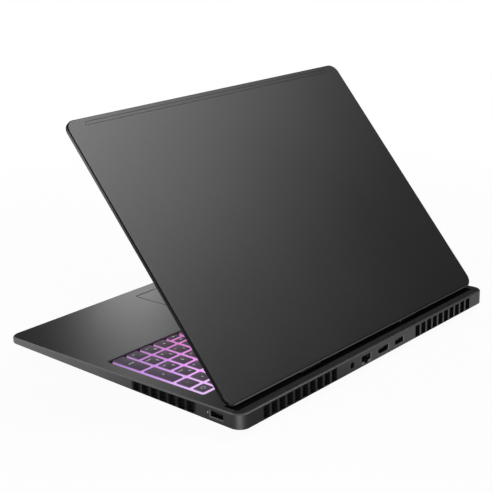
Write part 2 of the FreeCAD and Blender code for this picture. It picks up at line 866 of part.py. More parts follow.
def dc_jack():
    """Return the power inlet with its centre pin."""
    y = (inner_y - socket_depth, inner_y)
    shell = block(span(dc_jack_x, dc_shell), y, span(rear_socket_height, dc_shell))
    start = (dc_jack_x, y[0] + socket_shell, rear_socket_height)
    bore = rod(start, dc_jack_radius, socket_depth, V(0, 1, 0))
    pin = rod(start, dc_pin_radius, socket_depth - socket_shell * 2, V(0, 1, 0))
    return shell.cut(bore).fuse(pin).removeSplitter()


def network_socket():
    """Return the network socket."""
    y = (inner_y - socket_depth, inner_y)
    height = rear_socket_height + network_raise
    shell = prism_y(network_outline(network_x, height, socket_shell), y)
    hollow = prism_y(network_outline(network_x, height, 0), (y[0] + socket_shell, y[1] + socket_shell))
    return shell.cut(hollow)


def tongue(centre, width, y, thickness):
    """Return the contact tongue inside a rear socket."""
    x = span(centre[0], width - tongue_margin * 2)
    return block(x, (y[0], y[1] - socket_shell), span(centre[1], thickness))


def display_socket():
    """Return the display socket with its contact tongue."""
    y = (inner_y - socket_depth, inner_y)
    shell = prism_y(display_outline(display_port_x, rear_socket_height, socket_shell), y)
    hollow = prism_y(display_outline(display_port_x, rear_socket_height, 0), (y[0] + socket_shell, y[1]))
    centre = (display_port_x, rear_socket_height)
    return shell.cut(hollow).fuse(tongue(centre, display_port_width, y, tongue_thickness)).removeSplitter()


def oblong_socket(centre, size, depth, thickness):
    """Return an oblong socket that opens along +y, with its contact tongue."""
    y = (-depth, 0)
    shell = prism_y(oblong(centre, size[0] + socket_shell * 2, size[1] + socket_shell * 2), y)
    hollow = prism_y(oblong(centre, *size), (y[0] + socket_shell, y[1] + socket_shell))
    return shell.cut(hollow).fuse(tongue(centre, size[0], y, thickness)).removeSplitter()


def rear_usb_socket():
    """Return the rear accessory socket."""
    size = (usb_width, usb_height)
    shape = oblong_socket((usb_x, rear_socket_height), size, socket_depth, tongue_thickness)
    return shape.translate(V(0, inner_y, 0))


def side_socket(side, from_rear, size, depth, thickness):
    """Return an oblong socket in a side wall."""
    shape = oblong_socket((0, side_socket_height), size, depth, thickness)
    shape.rotate(V(0, 0, 0), V(0, 0, 1), -90 * side)
    return shape.translate(V(side * inner_x, half_depth - from_rear, 0))


def audio_jack():
    """Return the headset jack in the left wall."""
    start = V(-inner_x, half_depth - audio_from_rear, side_socket_height)
    shell = rod(start, audio_shell, side_socket_depth, V(1, 0, 0))
    return shell.cut(rod(start, audio_radius, side_socket_depth - socket_shell, V(1, 0, 0)))


def status_light():
    """Return the light guide beside the right-hand socket."""
    start = (inner_x - wall_thickness, half_depth - status_light_from_rear, side_socket_height)
    guide = rod(start, status_light_radius, wall_thickness * 2, V(1, 0, 0))
    collar = rod(start, status_light_collar, wall_thickness, V(1, 0, 0))
    return guide.fuse(collar).removeSplitter()


def fan_centre(side):
    """Return the middle of a fan."""
    return side * sum(fan_x) / 2, sum(fan_y) / 2


def fan_radius():
    """Return the radius of the fan's blades, as large as its housing lets it run."""
    return min(fan_x[1] - fan_x[0], fan_y[1] - fan_y[0]) / 2 - fan_wall - fan_blade_gap


def fan_housing(side):
    """Return a fan housing, open to the rear, with its inlet below and its bearing post."""
    x = mirror_range(fan_x, side)
    z = (floor_top + fan_floor_gap, plate_base)
    centre = fan_centre(side)
    inner_z = (z[0] + fan_cover, z[1] - fan_cover)
    body = block(x, fan_y, z)
    body = body.cut(block(grow(x, -fan_wall), (fan_y[0] + fan_wall, fan_y[1] + fan_wall), inner_z))
    body = body.cut(rod((*centre, 0), fan_inlet_radius, inner_z[0] + fan_cover / 2))
    post = rod((*centre, inner_z[0]), fan_post_radius, inner_z[1] - inner_z[0])
    feet = [block(span(centre[0] + part * (fan_x[1] - fan_x[0]) / 2 - part * fan_wall, fan_wall * 2), fan_y,
                  (floor_top, z[0])) for part in (-1, 1)]
    return body.fuse([post] + feet).removeSplitter()


def fan_rotor(side):
    """Return a fan rotor: a hub that runs on the post, and its blades."""
    centre = fan_centre(side)
    z = (floor_top + fan_floor_gap + fan_cover + fan_run_gap, plate_base - fan_cover - fan_run_gap)
    height = z[1] - z[0]
    hub = rod((*centre, z[0]), fan_hub_radius, height)
    blades = []
    for index in range(fan_blade_count):
        blade = block((centre[0] + fan_hub_radius - fan_blade_thickness, centre[0] + fan_radius()),
                      span(centre[1], fan_blade_thickness), z)
        blades.append(blade.rotate(V(*centre, 0), V(0, 0, 1), 360 * index / fan_blade_count))
    bore = rod((*centre, z[0]), fan_post_radius + fan_post_fit, height)
    return hub.fuse(blades).cut(bore).removeSplitter()


def fin_stack(side):
    """Return the cooling fins on the heat pipe, in front of a rear vent."""
    x = mirror_range(fan_x, side)
    y = (pipe_front, flat_rear - bottom_thickness)
    z = (cold_plate_base, cold_plate_base + fin_height)
    back = block(x, y, (z[0], z[0] + fin_thickness))
    pitch = (x[1] - x[0] - fin_thickness) / (fin_count - 1)
    fins = [block((x[0] + index * pitch, x[0] + index * pitch + fin_thickness), y, z)
            for index in range(fin_count)]
    return back.fuse(fins).removeSplitter()


def heat_pipes():
    """Return the flat heat pipes: a bar along both fin stacks and a leg under each chip."""
    z = (pipe_base, cold_plate_base)
    bar = block((-fan_x[1], fan_x[1]), (pipe_front, pipe_rear), z)
    legs = []
    for side in (-1, 1):
        x = span(side * chip_spacing / 2, pipe_width)
        legs.append(block(x, (chip_y - chip_size / 2, pipe_front), z))
    return bar.fuse(legs).removeSplitter()


def cold_plate():
    """Return the metal plate between the chips and the heat pipes."""
    x = grow(span(0, chip_spacing + chip_size), cold_plate_margin)
    y = grow(span(chip_y, chip_size), cold_plate_margin)
    return block(x, y, (cold_plate_base, cold_plate_top))


def motherboard():
    """Return the main board with its two chips below and its standoffs above."""
    points = [(-board_half, board_front), (board_half, board_front), (board_half, board_middle),
              (board_waist, board_middle), (board_waist, pipe_rear), (-board_waist, pipe_rear),
              (-board_waist, board_middle), (-board_half, board_middle)]
    corners = [V(x, y, board_base) for x, y in points]
    board = Part.Face(Part.makePolygon(corners + corners[:1])).extrude(V(0, 0, board_thickness))
    extras = []
    for side in (-1, 1):
        x = span(side * chip_spacing / 2, chip_size)
        extras.append(block(x, span(chip_y, chip_size), (cold_plate_top, board_base)))
        standoff = (side * (board_half - bay_gap), board_front + bay_gap, board_top)
        extras.append(rod(standoff, standoff_radius, plate_base - board_top))
    return board.fuse(extras).removeSplitter()


def card_row():
    """Return the ranges of the storage, memory and radio cards, from the board's right end."""
    ranges = []
    end = board_half - card_end_margin
    for width in (storage_width, memory_width, memory_width, radio_width):
        ranges.append((end - width, end))
        end -= width + card_gap
    return ranges


def card(x, depth):
    """Return a plug-in card flat against the underside of the board's front part."""
    y = span(board_front + board_front_depth / 2, depth)
    return block(x, y, (board_base - card_height, board_base))


def memory_modules():
    """Return the two memory modules side by side."""
    return group([card(x, memory_depth) for x in card_row()[1:3]])


def storage_card():
    """Return the storage card to the right of the memory."""
    return card(card_row()[0], storage_depth)


def radio_card():
    """Return the radio card to the left of the memory."""
    return card(card_row()[3], storage_depth)


def speaker_x(side):
    """Return the range of one speaker, beside the front screw boss."""
    outer = flat_half(flat_front + boss_inset) - boss_inset - boss_radius - bay_gap / 4
    return mirror_range((outer - speaker_width, outer), side)


def front_bay_start():
    """Return where the front bay's contents start, behind the front screw bosses."""
    return flat_front + boss_inset + boss_radius + bay_gap / 4


def speaker(side):
    """Return a speaker box with its round cone, sound side down."""
    y = (front_bay_start(), front_bay_start() + speaker_depth)
    x = speaker_x(side)
    body = block(x, y, (floor_top, floor_top + battery_height))
    cone = rod((sum(x) / 2, sum(y) / 2, floor_top), speaker_cone_radius, speaker_cone_depth)
    return body.cut(cone)


def battery():
    """Return the battery pack between the speakers."""
    half = speaker_x(1)[0] - bay_gap
    y = (front_bay_start(), board_front - bay_gap)
    return block((-half, half), y, (floor_top, floor_top + battery_height))


def build():
    """Return every node with its shape."""
    plan = key_plan()
    usb_size = (usb_width, usb_height)
    nodes = {
        "top_cover": top_cover(),
        "bottom_cover": bottom_cover(),
        "bottom_screws": bottom_screws(),
        "rear_foot": rear_foot(),
        "front_feet": front_feet(),
        "hinge_trough": hinge_trough(),
        "lid_cover": lid_cover(),
        "aerial_strip": aerial_strip(),
        "display_bezel": display_bezel(),
        "display_panel": display_panel(),
        "webcam": webcam(),
        "keyboard_light_panel": keyboard_sheet(plan, (panel_base, panel_top)),
        "keyboard_plate": keyboard_sheet(plan, (plate_base, panel_base)),
        "touchpad": touchpad(),
        "touchpad_bracket": touchpad_bracket(),
        "dc_jack": dc_jack(),
        "network_socket": network_socket(),
        "display_socket": display_socket(),
        "rear_usb_socket": rear_usb_socket(),
        "right_usb_socket": side_socket(1, side_usb_from_rear, usb_size, socket_depth, tongue_thickness),
        "left_usb_c_socket": side_socket(-1, usb_c_from_rear, (usb_c_width, usb_c_height), side_socket_depth,
                                         small_tongue),
        "audio_jack": audio_jack(),
        "status_light": status_light(),
        "heat_pipes": heat_pipes(),
        "cold_plate": cold_plate(),
        "motherboard": motherboard(),
        "memory_modules": memory_modules(),
        "storage_card": storage_card(),
        "radio_card": radio_card(),
        "battery": battery(),
    }
    for name, side in (("left", -1), ("right", 1)):
        nodes[f"{name}_hinge_bracket"] = hinge_bracket(side)
        nodes[f"{name}_hinge_arm"] = hinge_arm(side)
        nodes[f"rear_{name}_grille"] = rear_grille(side)
        nodes[f"{name}_side_grille"] = side_grille(side)
        nodes[f"{name}_fan_housing"] = fan_housing(side)
        nodes[f"{name}_fan_rotor"] = fan_rotor(side)
        nodes[f"{name}_fin_stack"] = fin_stack(side)
        nodes[f"{name}_speaker"] = speaker(side)
    for name, keys in plan.items():
        nodes[name] = group([key_cap(key) for key in keys])
    return nodes


def main():
    """Write one file for each node."""
    os.makedirs("parts", exist_ok=True)
    for name, shape in build().items():
        shape.exportStep(f"parts/{name}.step")
        print(f"{name}: {len(shape.Solids)} solids, {shape.Volume:.1f} mm3, valid {shape.isValid()}")


main()
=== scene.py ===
"""Looks of a half-open sixteen-inch laptop: finishes, key caps, legends, feet, screws, light and camera."""

import logging
import math
from dataclasses import dataclass
from enum import Enum
from typing import Any, Iterable, Sequence

import bmesh
import bpy
from bmesh.types import BMEdge, BMesh, BMVert
from bpy.types import Material
from mathutils import Matrix, Vector


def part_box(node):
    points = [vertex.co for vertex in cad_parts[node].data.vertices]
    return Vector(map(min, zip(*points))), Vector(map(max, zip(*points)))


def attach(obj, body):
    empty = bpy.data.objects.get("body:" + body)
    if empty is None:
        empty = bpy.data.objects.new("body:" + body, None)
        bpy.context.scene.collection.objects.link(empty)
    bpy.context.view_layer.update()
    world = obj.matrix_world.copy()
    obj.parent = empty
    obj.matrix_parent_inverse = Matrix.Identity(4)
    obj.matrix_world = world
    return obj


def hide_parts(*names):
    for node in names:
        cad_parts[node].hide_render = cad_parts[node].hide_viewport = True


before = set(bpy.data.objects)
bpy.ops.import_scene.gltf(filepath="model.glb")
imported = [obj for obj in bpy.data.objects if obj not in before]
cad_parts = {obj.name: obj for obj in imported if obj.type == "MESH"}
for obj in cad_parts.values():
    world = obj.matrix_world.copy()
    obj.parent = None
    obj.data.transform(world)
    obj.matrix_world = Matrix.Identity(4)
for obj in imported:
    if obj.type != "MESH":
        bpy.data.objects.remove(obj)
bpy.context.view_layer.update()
LOG = logging.getLogger("laptop")
MM = 0.001
WELD = 1e-6
Triple = tuple[float, float, float]
Colour = Triple
Span = tuple[float, float]
ORIGIN: Triple = (0.0, 0.0, 0.0)
METAL_GREY: Colour = (0.055, 0.055, 0.0555)
# lighter metal on edge chamfers: a painted highlight along the edges
EDGE_HIGHLIGHT_GREY: Colour = (0.105, 0.105, 0.106)
# lighter metal at the socket ends: a painted highlight standing in for lit plated shells
SOCKET_HIGHLIGHT_GREY: Colour = (0.15, 0.15, 0.15)
# lighter metal on the walls round the keys: a painted highlight
WELL_HIGHLIGHT_GREY: Colour = (0.13, 0.13, 0.13)
BLACK: Colour = (0.0, 0.0, 0.0)
WHITE: Colour = (1.0, 1.0, 1.0)
SHARP_ANGLE = 35.0


class Axis(Enum):
    """The frame's axes: to the user's right, to the rear and up."""

    RIGHT = Vector((1.0, 0.0, 0.0))
    REAR = Vector((0.0, 1.0, 0.0))
    UP = Vector((0.0, 0.0, 1.0))


class Signal:
    """A shader socket that takes part in Python arithmetic."""

    def __init__(self, shader: "Shader", socket: bpy.types.NodeSocket) -> None:
        """Keep the shader and the socket that carries the value."""
        self.shader = shader
        self.socket = socket

    def math(self, operation: str, first: "Value", second: "Value") -> "Signal":
        """Return a Math node's result."""
        return self.shader.node("ShaderNodeMath", {"operation": operation}, {0: first, 1: second})

    def __add__(self, other: "Value") -> "Signal":
        """Return the sum."""
        return self.math("ADD", self, other)

    __radd__ = __add__

    def __sub__(self, other: "Value") -> "Signal":
        """Return the difference."""
        return self.math("SUBTRACT", self, other)

    def __rsub__(self, other: "Value") -> "Signal":
        """Return the difference from a number."""
        return self.math("SUBTRACT", other, self)

    def __mul__(self, other: "Value") -> "Signal":
        """Return the product."""
        return self.math("MULTIPLY", self, other)


Value = float | Sequence[float] | Signal


class Shader:
    """The node tree of one material."""

    def __init__(self, name: str) -> None:
        """Start an empty material.

        Args:
            name: the material's name.
        """
        self.material = bpy.data.materials.new(name)
        self.material.use_nodes = True
        self.tree = self.material.node_tree
        self.tree.nodes.clear()

    def node(self, kind: str, settings: dict[str, Any], inputs: dict[str | int, Value],
             output: str | int = 0) -> Signal | None:
        """Add any node.

        Args:
            kind: the node's type.
            settings: its properties, set first; "stops" gives a colour ramp's positions and colours.
            inputs: values or signals for its sockets, by name or number.
            output: the socket to return.

        Returns:
            The chosen output, or None for a node without outputs.
        """
        made = self.tree.nodes.new(kind)
        for name, value in settings.items():
            if name == "stops":
                self._set_stops(made.color_ramp, value)
            else:
                setattr(made, name, value)
        for key, value in inputs.items():
            socket = made.inputs[key]
            if isinstance(value, Signal):
                self.tree.links.new(value.socket, socket)
            elif socket.type == "RGBA":
                socket.default_value = (*value[:3], 1.0)
            else:
                socket.default_value = value
        return Signal(self, made.outputs[output]) if made.outputs else None

    @staticmethod
    def _set_stops(ramp: bpy.types.ColorRamp, stops: Sequence[tuple[float, Colour]]) -> None:
        """Give a colour ramp its stops.

        Args:
            ramp: the colour ramp.
            stops: the position and colour of each stop.
        """
        while len(ramp.elements) < len(stops):
            ramp.elements.new(1.0)
        for element, (position, colour) in zip(ramp.elements, stops):
            element.position = position
            element.color = (*colour, 1.0)

    def place(self) -> Signal:
        """Return the point on the piece, in its own coordinates."""
        return self.node("ShaderNodeTexCoord", {}, {}, "Object")

    def along(self, axis: Axis, place: Signal | None = None) -> Signal:
        """Return one coordinate of a point, by default of the point on the piece, in metres."""
        return self.vector("DOT_PRODUCT", place or self.place(), axis.value, "Value")

    def stretched(self, scale: Sequence[float]) -> Signal:
        """Return the point on the piece, scaled by axis."""
        return self.node("ShaderNodeMapping", {}, {"Vector": self.place(), "Scale": scale})

    def vector(self, operation: str, first: Value, second: Value = ORIGIN, output: str = "Vector") -> Signal:
        """Return a Vector Math node's result."""
        return self.node("ShaderNodeVectorMath", {"operation": operation}, {0: first, 1: second}, output)

    def length(self, vector: Signal) -> Signal:
        """Return the length of a vector."""
        return self.vector("LENGTH", vector, output="Value")

    def noise(self, scale: float, detail: float = 2.0, vector: Signal | None = None) -> Signal:
        """Return a noise value from 0 to 1, with a number of features per metre."""
        inputs = {"Vector": vector or self.place(), "Scale": scale, "Detail": detail}
        return self.node("ShaderNodeTexNoise", {}, inputs, "Fac")

    def ramp(self, value: Signal, low: float, high: float, start: float = 0.0, end: float = 1.0) -> Signal:
        """Return a value brought smoothly from one range to another."""
        inputs = {"Value": value, "From Min": low, "From Max": high, "To Min": start, "To Max": end}
        return self.node("ShaderNodeMapRange", {"interpolation_type": "SMOOTHSTEP"}, inputs)

    def blend(self, factor: Value, first: Value, second: Value) -> Signal:
        """Return a mix of two colours."""
        return self.node("ShaderNodeMix", {"data_type": "RGBA"}, {0: factor, 6: first, 7: second}, 2)

    def mottled(self, factor: Signal, colour: Colour, spread: float) -> Signal:
        """Return a colour that varies by a share of itself either way."""
        return self.blend(factor, scaled(colour, 1.0 - spread), scaled(colour, 1.0 + spread))

    def bump(self, height: Signal, depth: float, strength: float = 0.5) -> Signal:
        """Return a normal roughened by a height, with its depth in metres."""
        return self.node("ShaderNodeBump", {}, {"Height": height, "Distance": depth, "Strength": strength})

    def surface(self, inputs: dict[str, Value]) -> Material:
        """Finish the material with a principled shader.

        Args:
            inputs: values or signals for the shader's sockets, by name.

        Returns:
            The material.
        """
        shade = self.node("ShaderNodeBsdfPrincipled", {}, inputs)
        self.node("ShaderNodeOutputMaterial", {}, {"Surface": shade})
        return self.material


def scaled(colour: Colour, by: float) -> Colour:
    """Return a colour made lighter or darker."""
    return tuple(channel * by for channel in colour)


@dataclass(frozen=True)
class LaidFlat:
    """The lid's own coordinates, as if it lay closed."""

    hinge: Triple = (0.0, 119.58 * MM, 22.24 * MM)
    angle: float = 50.15

    def place(self, shader: Shader) -> Signal:
        """Return the point on the lid, turned down about the hinges."""
        turn = {"Vector": shader.place(), "Center": self.hinge, "Angle": math.radians(self.angle)}
        return shader.node("ShaderNodeVectorRotate", {"rotation_type": "X_AXIS"}, turn)


@dataclass(frozen=True)
class Outline:
    """A rectangle with rounded corners, seen from above."""

    centre: Sequence[float]
    half_width: float
    half_depth: float
    corner: float

    def inset(self, shader: Shader, place: Signal) -> Signal:
        """Measure how far inside the outline a point lies.

        Args:
            shader: the node tree.
            place: the point.

        Returns:
            The distance, up to the corner radius.
        """
        straight = (self.half_width - self.corner, self.half_depth - self.corner, 1.0)
        offset = shader.vector("ABSOLUTE", shader.vector("SUBTRACT", place, self.centre))
        beyond = shader.vector("MAXIMUM", shader.vector("SUBTRACT", offset, straight))
        return self.corner - shader.length(beyond)


@dataclass(frozen=True)
class InnerFaceShade:
    """The faces behind the casing's outer skin, painted near-black: painted shade inside the openings and
    under the deck.
    """

    outline: Outline
    top: float
    skin: float = 0.3 * MM
    rim: float = 1.1 * MM
    # near-black: painted shade on the faces inside the openings and under the deck
    colour: Colour = (0.003, 0.003, 0.003)
    rougher: float = 0.4

    def share(self, shader: Shader) -> Signal:
        """Mark the inner faces.

        Args:
            shader: the node tree.

        Returns:
            1 on the inner faces and 0 on the outer skin.
        """
        behind = shader.ramp(self.outline.inset(shader, shader.place()), self.skin / 2, self.skin)
        low = self.top - self.rim
        return behind * shader.ramp(shader.along(Axis.UP), low, low + self.skin / 3, 1.0, 0.0)


@dataclass(frozen=True)
class EdgeBand:
    """A band along an outline, above a height."""

    outline: Outline
    width: float
    low: float
    colour: Colour
    rougher: float
    flat: LaidFlat | None = None
    soft: float = 0.1 * MM

    def share(self, shader: Shader) -> Signal:
        """Mark the band.

        Args:
            shader: the node tree.

        Returns:
            1 on the band and 0 elsewhere.
        """
        place = self.flat.place(shader) if self.flat else shader.place()
        rim = shader.ramp(self.outline.inset(shader, place), self.width, self.width + self.soft, 1.0, 0.0)
        return rim * shader.ramp(shader.along(Axis.UP, place), self.low, self.low + self.soft)


@dataclass(frozen=True)
class InBlock:
    """The metal inside a block, with a finish of its own."""

    low: Vector
    high: Vector
    colour: Colour
    rougher: float
    soft: float = 0.2 * MM

    def share(self, shader: Shader) -> Signal:
        """Mark the block.

        Args:
            shader: the node tree.

        Returns:
            1 inside the block and 0 outside it.
        """
        offset = shader.vector("SUBTRACT", shader.place(), (self.low + self.high) / 2)
        beyond = shader.vector("SUBTRACT", shader.vector("ABSOLUTE", offset), (self.high - self.low) / 2)
        return shader.ramp(shader.length(shader.vector("MAXIMUM", beyond)), 0.0, self.soft, 1.0, 0.0)


@dataclass(frozen=True)
class LidSideShade:
    """Painted shade on the lid's sides below its edge, a little lighter towards the free edge."""

    edge: float
    rear: float
    flat: LaidFlat
    corner: Span = (4.0 * MM, 1.0 * MM)
    # where the painted shade lightens towards the free edge
    shade_fade: Span = (240.0 * MM, 120.0 * MM)
    least: float = 0.7
    soft: float = 0.1 * MM
    # near-black: painted shade on the lid's sides
    colour: Colour = (0.0015, 0.0015, 0.0015)
    rougher: float = 0.2

    def share(self, shader: Shader) -> Signal:
        """Mark the sides.

        Args:
            shader: the node tree.

        Returns:
            1 on the sides, less towards the free edge, and 0 on the back and along the hinges.
        """
        place = self.flat.place(shader)
        below = shader.ramp(shader.along(Axis.UP, place), self.edge - self.soft, self.edge, 1.0, 0.0)
        back = shader.along(Axis.REAR, place)
        paint = shader.ramp(back, self.rear - self.shade_fade[0], self.rear - self.shade_fade[1], self.least, 1.0)
        ahead = shader.ramp(back, self.rear - self.corner[0], self.rear - self.corner[1], 1.0, 0.0)
        return below * paint * ahead


Patch = InnerFaceShade | EdgeBand | InBlock | LidSideShade


@dataclass(frozen=True)
class SatinMetal:
    """Dark anodised or painted metal with a fine sparkling grain."""

    name: str
    patches: tuple[Patch, ...] = ()
    colour: Colour = METAL_GREY
    roughness: float = 0.42
    metallic: float = 0.9
    clouds: float = 9.0
    mottle: float = 0.1
    gloss_drift: float = 0.05
    grain: float = 2600.0
    grain_depth: float = 0.012 * MM
    sparkle_from: Span = (0.58, 0.78)
    sparkle_gain: float = 1.7
    sparkle_share: float = 0.5
    sparkle_polish: float = 0.06

    def material(self) -> Material:
        """Make the finish.

        Returns:
            The material.
        """
        shader = Shader(self.name)
        cloud = shader.noise(self.clouds, 3.0)
        speck = shader.noise(self.grain, 1.0)
        sparkle = shader.ramp(speck, *self.sparkle_from)
        tint = shader.mottled(cloud, self.colour, self.mottle)
        tint = shader.blend(sparkle * self.sparkle_share, tint, scaled(self.colour, self.sparkle_gain))
        rough = self.roughness + (cloud - 0.5) * self.gloss_drift - sparkle * self.sparkle_polish
        for patch in self.patches:
            share = patch.share(shader)
            tint = shader.blend(share, tint, patch.colour)
            rough = rough + share * patch.rougher
        return shader.surface({
            "Base Color": tint,
            "Roughness": rough,
            "Metallic": self.metallic,
            "Normal": shader.bump(speck, self.grain_depth),
        })


@dataclass(frozen=True)
class MouldedPlastic:
    """Moulded plastic with a spark-eroded grain and a faint variation of gloss."""

    name: str
    colour: Colour
    roughness: float
    grain: float = 1800.0
    grain_depth: float = 0.02 * MM
    specular: float = 0.5
    grain_strength: float = 0.6
    mottle: float = 0.25
    gloss_drift: float = 0.1
    clouds: float = 14.0
    cloud_share: float = 0.5
    cloud_gain: float = 1.2

    def material(self) -> Material:
        """Make the finish.

        Returns:
            The material.
        """
        shader = Shader(self.name)
        cloud = shader.noise(self.clouds, 3.0)
        grain = shader.noise(self.grain, 2.0)
        tint = shader.mottled(grain, self.colour, self.mottle)
        return shader.surface({
            "Base Color": shader.blend(cloud * self.cloud_share, tint, scaled(self.colour, self.cloud_gain)),
            "Roughness": self.roughness + (grain - 0.5) * self.gloss_drift,
            "Specular IOR Level": self.specular,
            "Normal": shader.bump(grain, self.grain_depth, self.grain_strength),
        })


@dataclass(frozen=True)
class BrushedMetal:
    """Bare metal with fine lines along one axis and a slight tarnish."""

    name: str
    colour: Colour
    roughness: float
    lines: Triple = (60.0, 2400.0, 2400.0)
    line_range: Span = (0.82, 1.12)
    line_depth: float = 0.008 * MM
    line_strength: float = 0.4
    gloss_drift: float = 0.14
    tarnish: float = 55.0
    tarnish_share: float = 0.45
    tarnish_gain: float = 0.7

    def material(self) -> Material:
        """Make the finish.

        Returns:
            The material.
        """
        shader = Shader(self.name)
        line = shader.noise(1.0, 3.0, shader.stretched(self.lines))
        tarnish = shader.noise(self.tarnish, 4.0)
        dark, light = (scaled(self.colour, by) for by in self.line_range)
        tint = shader.blend(line, dark, light)
        tarnished = scaled(self.colour, self.tarnish_gain)
        return shader.surface({
            "Base Color": shader.blend(tarnish * self.tarnish_share, tint, tarnished),
            "Roughness": self.roughness + (line - 0.5) * self.gloss_drift,
            "Metallic": 1.0,
            "Normal": shader.bump(line, self.line_depth, self.line_strength),
        })


@dataclass(frozen=True)
class CircuitBoard:
    """Solder mask over copper tracks."""

    name: str
    mask: Colour = (0.006, 0.02, 0.014)
    track: Colour = (0.012, 0.045, 0.03)
    track_count: float = 260.0
    track_bend: float = 6.0
    track_edge: Span = (0.55, 0.7)
    track_height: float = 0.03 * MM
    routed_patches: float = 70.0
    routed_edge: Span = (0.45, 0.55)
    roughness: float = 0.42
    track_polish: float = 0.08

    def material(self) -> Material:
        """Make the finish.

        Returns:
            The material.
        """
        shader = Shader(self.name)
        bands = {
            "Vector": shader.place(), "Scale": self.track_count, "Distortion": self.track_bend, "Detail": 1.0,
        }
        wave = shader.node("ShaderNodeTexWave", {"bands_direction": "DIAGONAL"}, bands, "Fac")
        routed = shader.ramp(shader.noise(self.routed_patches, 1.0), *self.routed_edge)
        copper = shader.ramp(wave, *self.track_edge) * routed
        return shader.surface({
            "Base Color": shader.blend(copper, self.mask, self.track),
            "Roughness": self.roughness - copper * self.track_polish,
            "Normal": shader.bump(copper, self.track_height),
        })


@dataclass(frozen=True)
class KeyGlow:
    """The colours of the keyboard's light, from the left end of the keys to the right."""

    left: Colour = (0.2, 0.18, 0.95)
    middle: Colour = (0.88, 0.3, 0.79)
    right: Colour = (0.62, 0.32, 0.82)
    pale: Colour = (0.9, 0.7, 0.88)
    half_width: float = 164.0 * MM
    middle_span: Span = (0.35, 0.9)
    paler: Span = (20.0 * MM, 90.0 * MM)
    pale_share: float = 0.45
    brighter: Span = (-25.0 * MM, 50.0 * MM)
    dimmest: float = 0.62

    def colour(self, shader: Shader) -> Signal:
        """Colour the light, paler and stronger towards the rear.

        Args:
            shader: the node tree.

        Returns:
            The light's colour at each point.
        """
        start, end = self.middle_span
        stops = [(0.0, self.left), (start, self.middle), (end, self.middle), (1.0, self.right)]
        share = shader.ramp(shader.along(Axis.RIGHT), -self.half_width, self.half_width)
        tint = shader.node("ShaderNodeValToRGB", {"stops": stops}, {"Fac": share})
        back = shader.along(Axis.REAR)
        tint = shader.blend(shader.ramp(back, *self.paler) * self.pale_share, tint, self.pale)
        return shader.blend(shader.ramp(back, *self.brighter, self.dimmest, 1.0), BLACK, tint)


@dataclass(frozen=True)
class KeyCap:
    """A dark cap with a clear skirt that carries the light of the panel below."""

    name: str
    top: float
    glow: KeyGlow
    colour: Colour = (0.05, 0.05, 0.052)
    mottle: float = 0.2
    grain: float = 2200.0
    grain_depth: float = 0.012 * MM
    roughness: float = 0.5
    gloss_drift: float = 0.12
    strength: float = 1.1
    fade: Span = (0.25 * MM, 1.05 * MM)
    spill: float = 0.05

    def material(self) -> Material:
        """Make the finish.

        Returns:
            The material.
        """
        shader = Shader(self.name)
        grain = shader.noise(self.grain, 2.0)
        depth = self.top - shader.along(Axis.UP)
        lit = shader.ramp(depth, *self.fade, self.spill, 1.0)
        return shader.surface({
            "Base Color": shader.mottled(grain, self.colour, self.mottle),
            "Roughness": self.roughness + grain * self.gloss_drift,
            "Emission Color": shader.blend(lit, BLACK, self.glow.colour(shader)),
            "Emission Strength": self.strength,
            "Normal": shader.bump(grain, self.grain_depth),
        })


@dataclass(frozen=True)
class LightSheet:
    """The milky sheet under the keys, lit through from its edge."""

    name: str
    glow: KeyGlow
    thin: Colour = (0.3, 0.28, 0.32)
    thick: Colour = (0.4, 0.38, 0.42)
    clouds: float = 160.0
    roughness: float = 0.35
    gloss_drift: float = 0.1
    dimmest: float = 0.75
    strength: float = 0.8

    def material(self) -> Material:
        """Make the finish.

        Returns:
            The material.
        """
        shader = Shader(self.name)
        milk = shader.noise(self.clouds, 3.0)
        level = self.dimmest + milk * (1.0 - self.dimmest)
        return shader.surface({
            "Base Color": shader.blend(milk, self.thin, self.thick),
            "Roughness": self.roughness + milk * self.gloss_drift,
            "Emission Color": shader.blend(level, BLACK, self.glow.colour(shader)),
            "Emission Strength": self.strength,
        })


@dataclass(frozen=True)
class LitMark:
    """A pale translucent mark, lit from behind."""

    name: str
    colour: Colour
    strength: float
    haze: float = 900.0
    dimmest: float = 0.85
    roughness: float = 0.4
    gloss_drift: float = 0.1

    def material(self) -> Material:
        """Make the finish.

        Returns:
            The material.
        """
        shader = Shader(self.name)
        haze = shader.noise(self.haze, 2.0)
        pale = shader.blend(haze, scaled(self.colour, self.dimmest), self.colour)
        return shader.surface({
            "Base Color": pale,
            "Roughness": self.roughness + haze * self.gloss_drift,
            "Emission Color": pale,
            "Emission Strength": self.strength,
        })


@dataclass(frozen=True)
class DarkGlass:
    """Dark smooth glass with faint smears."""

    name: str
    colour: Colour
    roughness: float
    smears: float = 24.0
    smear_stretch: Triple = (1.0, 0.35, 0.6)
    smear_dulling: float = 0.08
    mottle: float = 0.15
    grain: float = 2400.0
    grain_dulling: float = 0.03
    refraction: float = 1.52

    def material(self) -> Material:
        """Make the finish.

        Returns:
            The material.
        """
        shader = Shader(self.name)
        smear = shader.noise(self.smears, 4.0, shader.stretched(self.smear_stretch))
        fine = shader.noise(self.grain, 1.0)
        return shader.surface({
            "Base Color": shader.mottled(smear, self.colour, self.mottle),
            "Roughness": self.roughness + smear * self.smear_dulling + fine * self.grain_dulling,
            "IOR": self.refraction,
        })


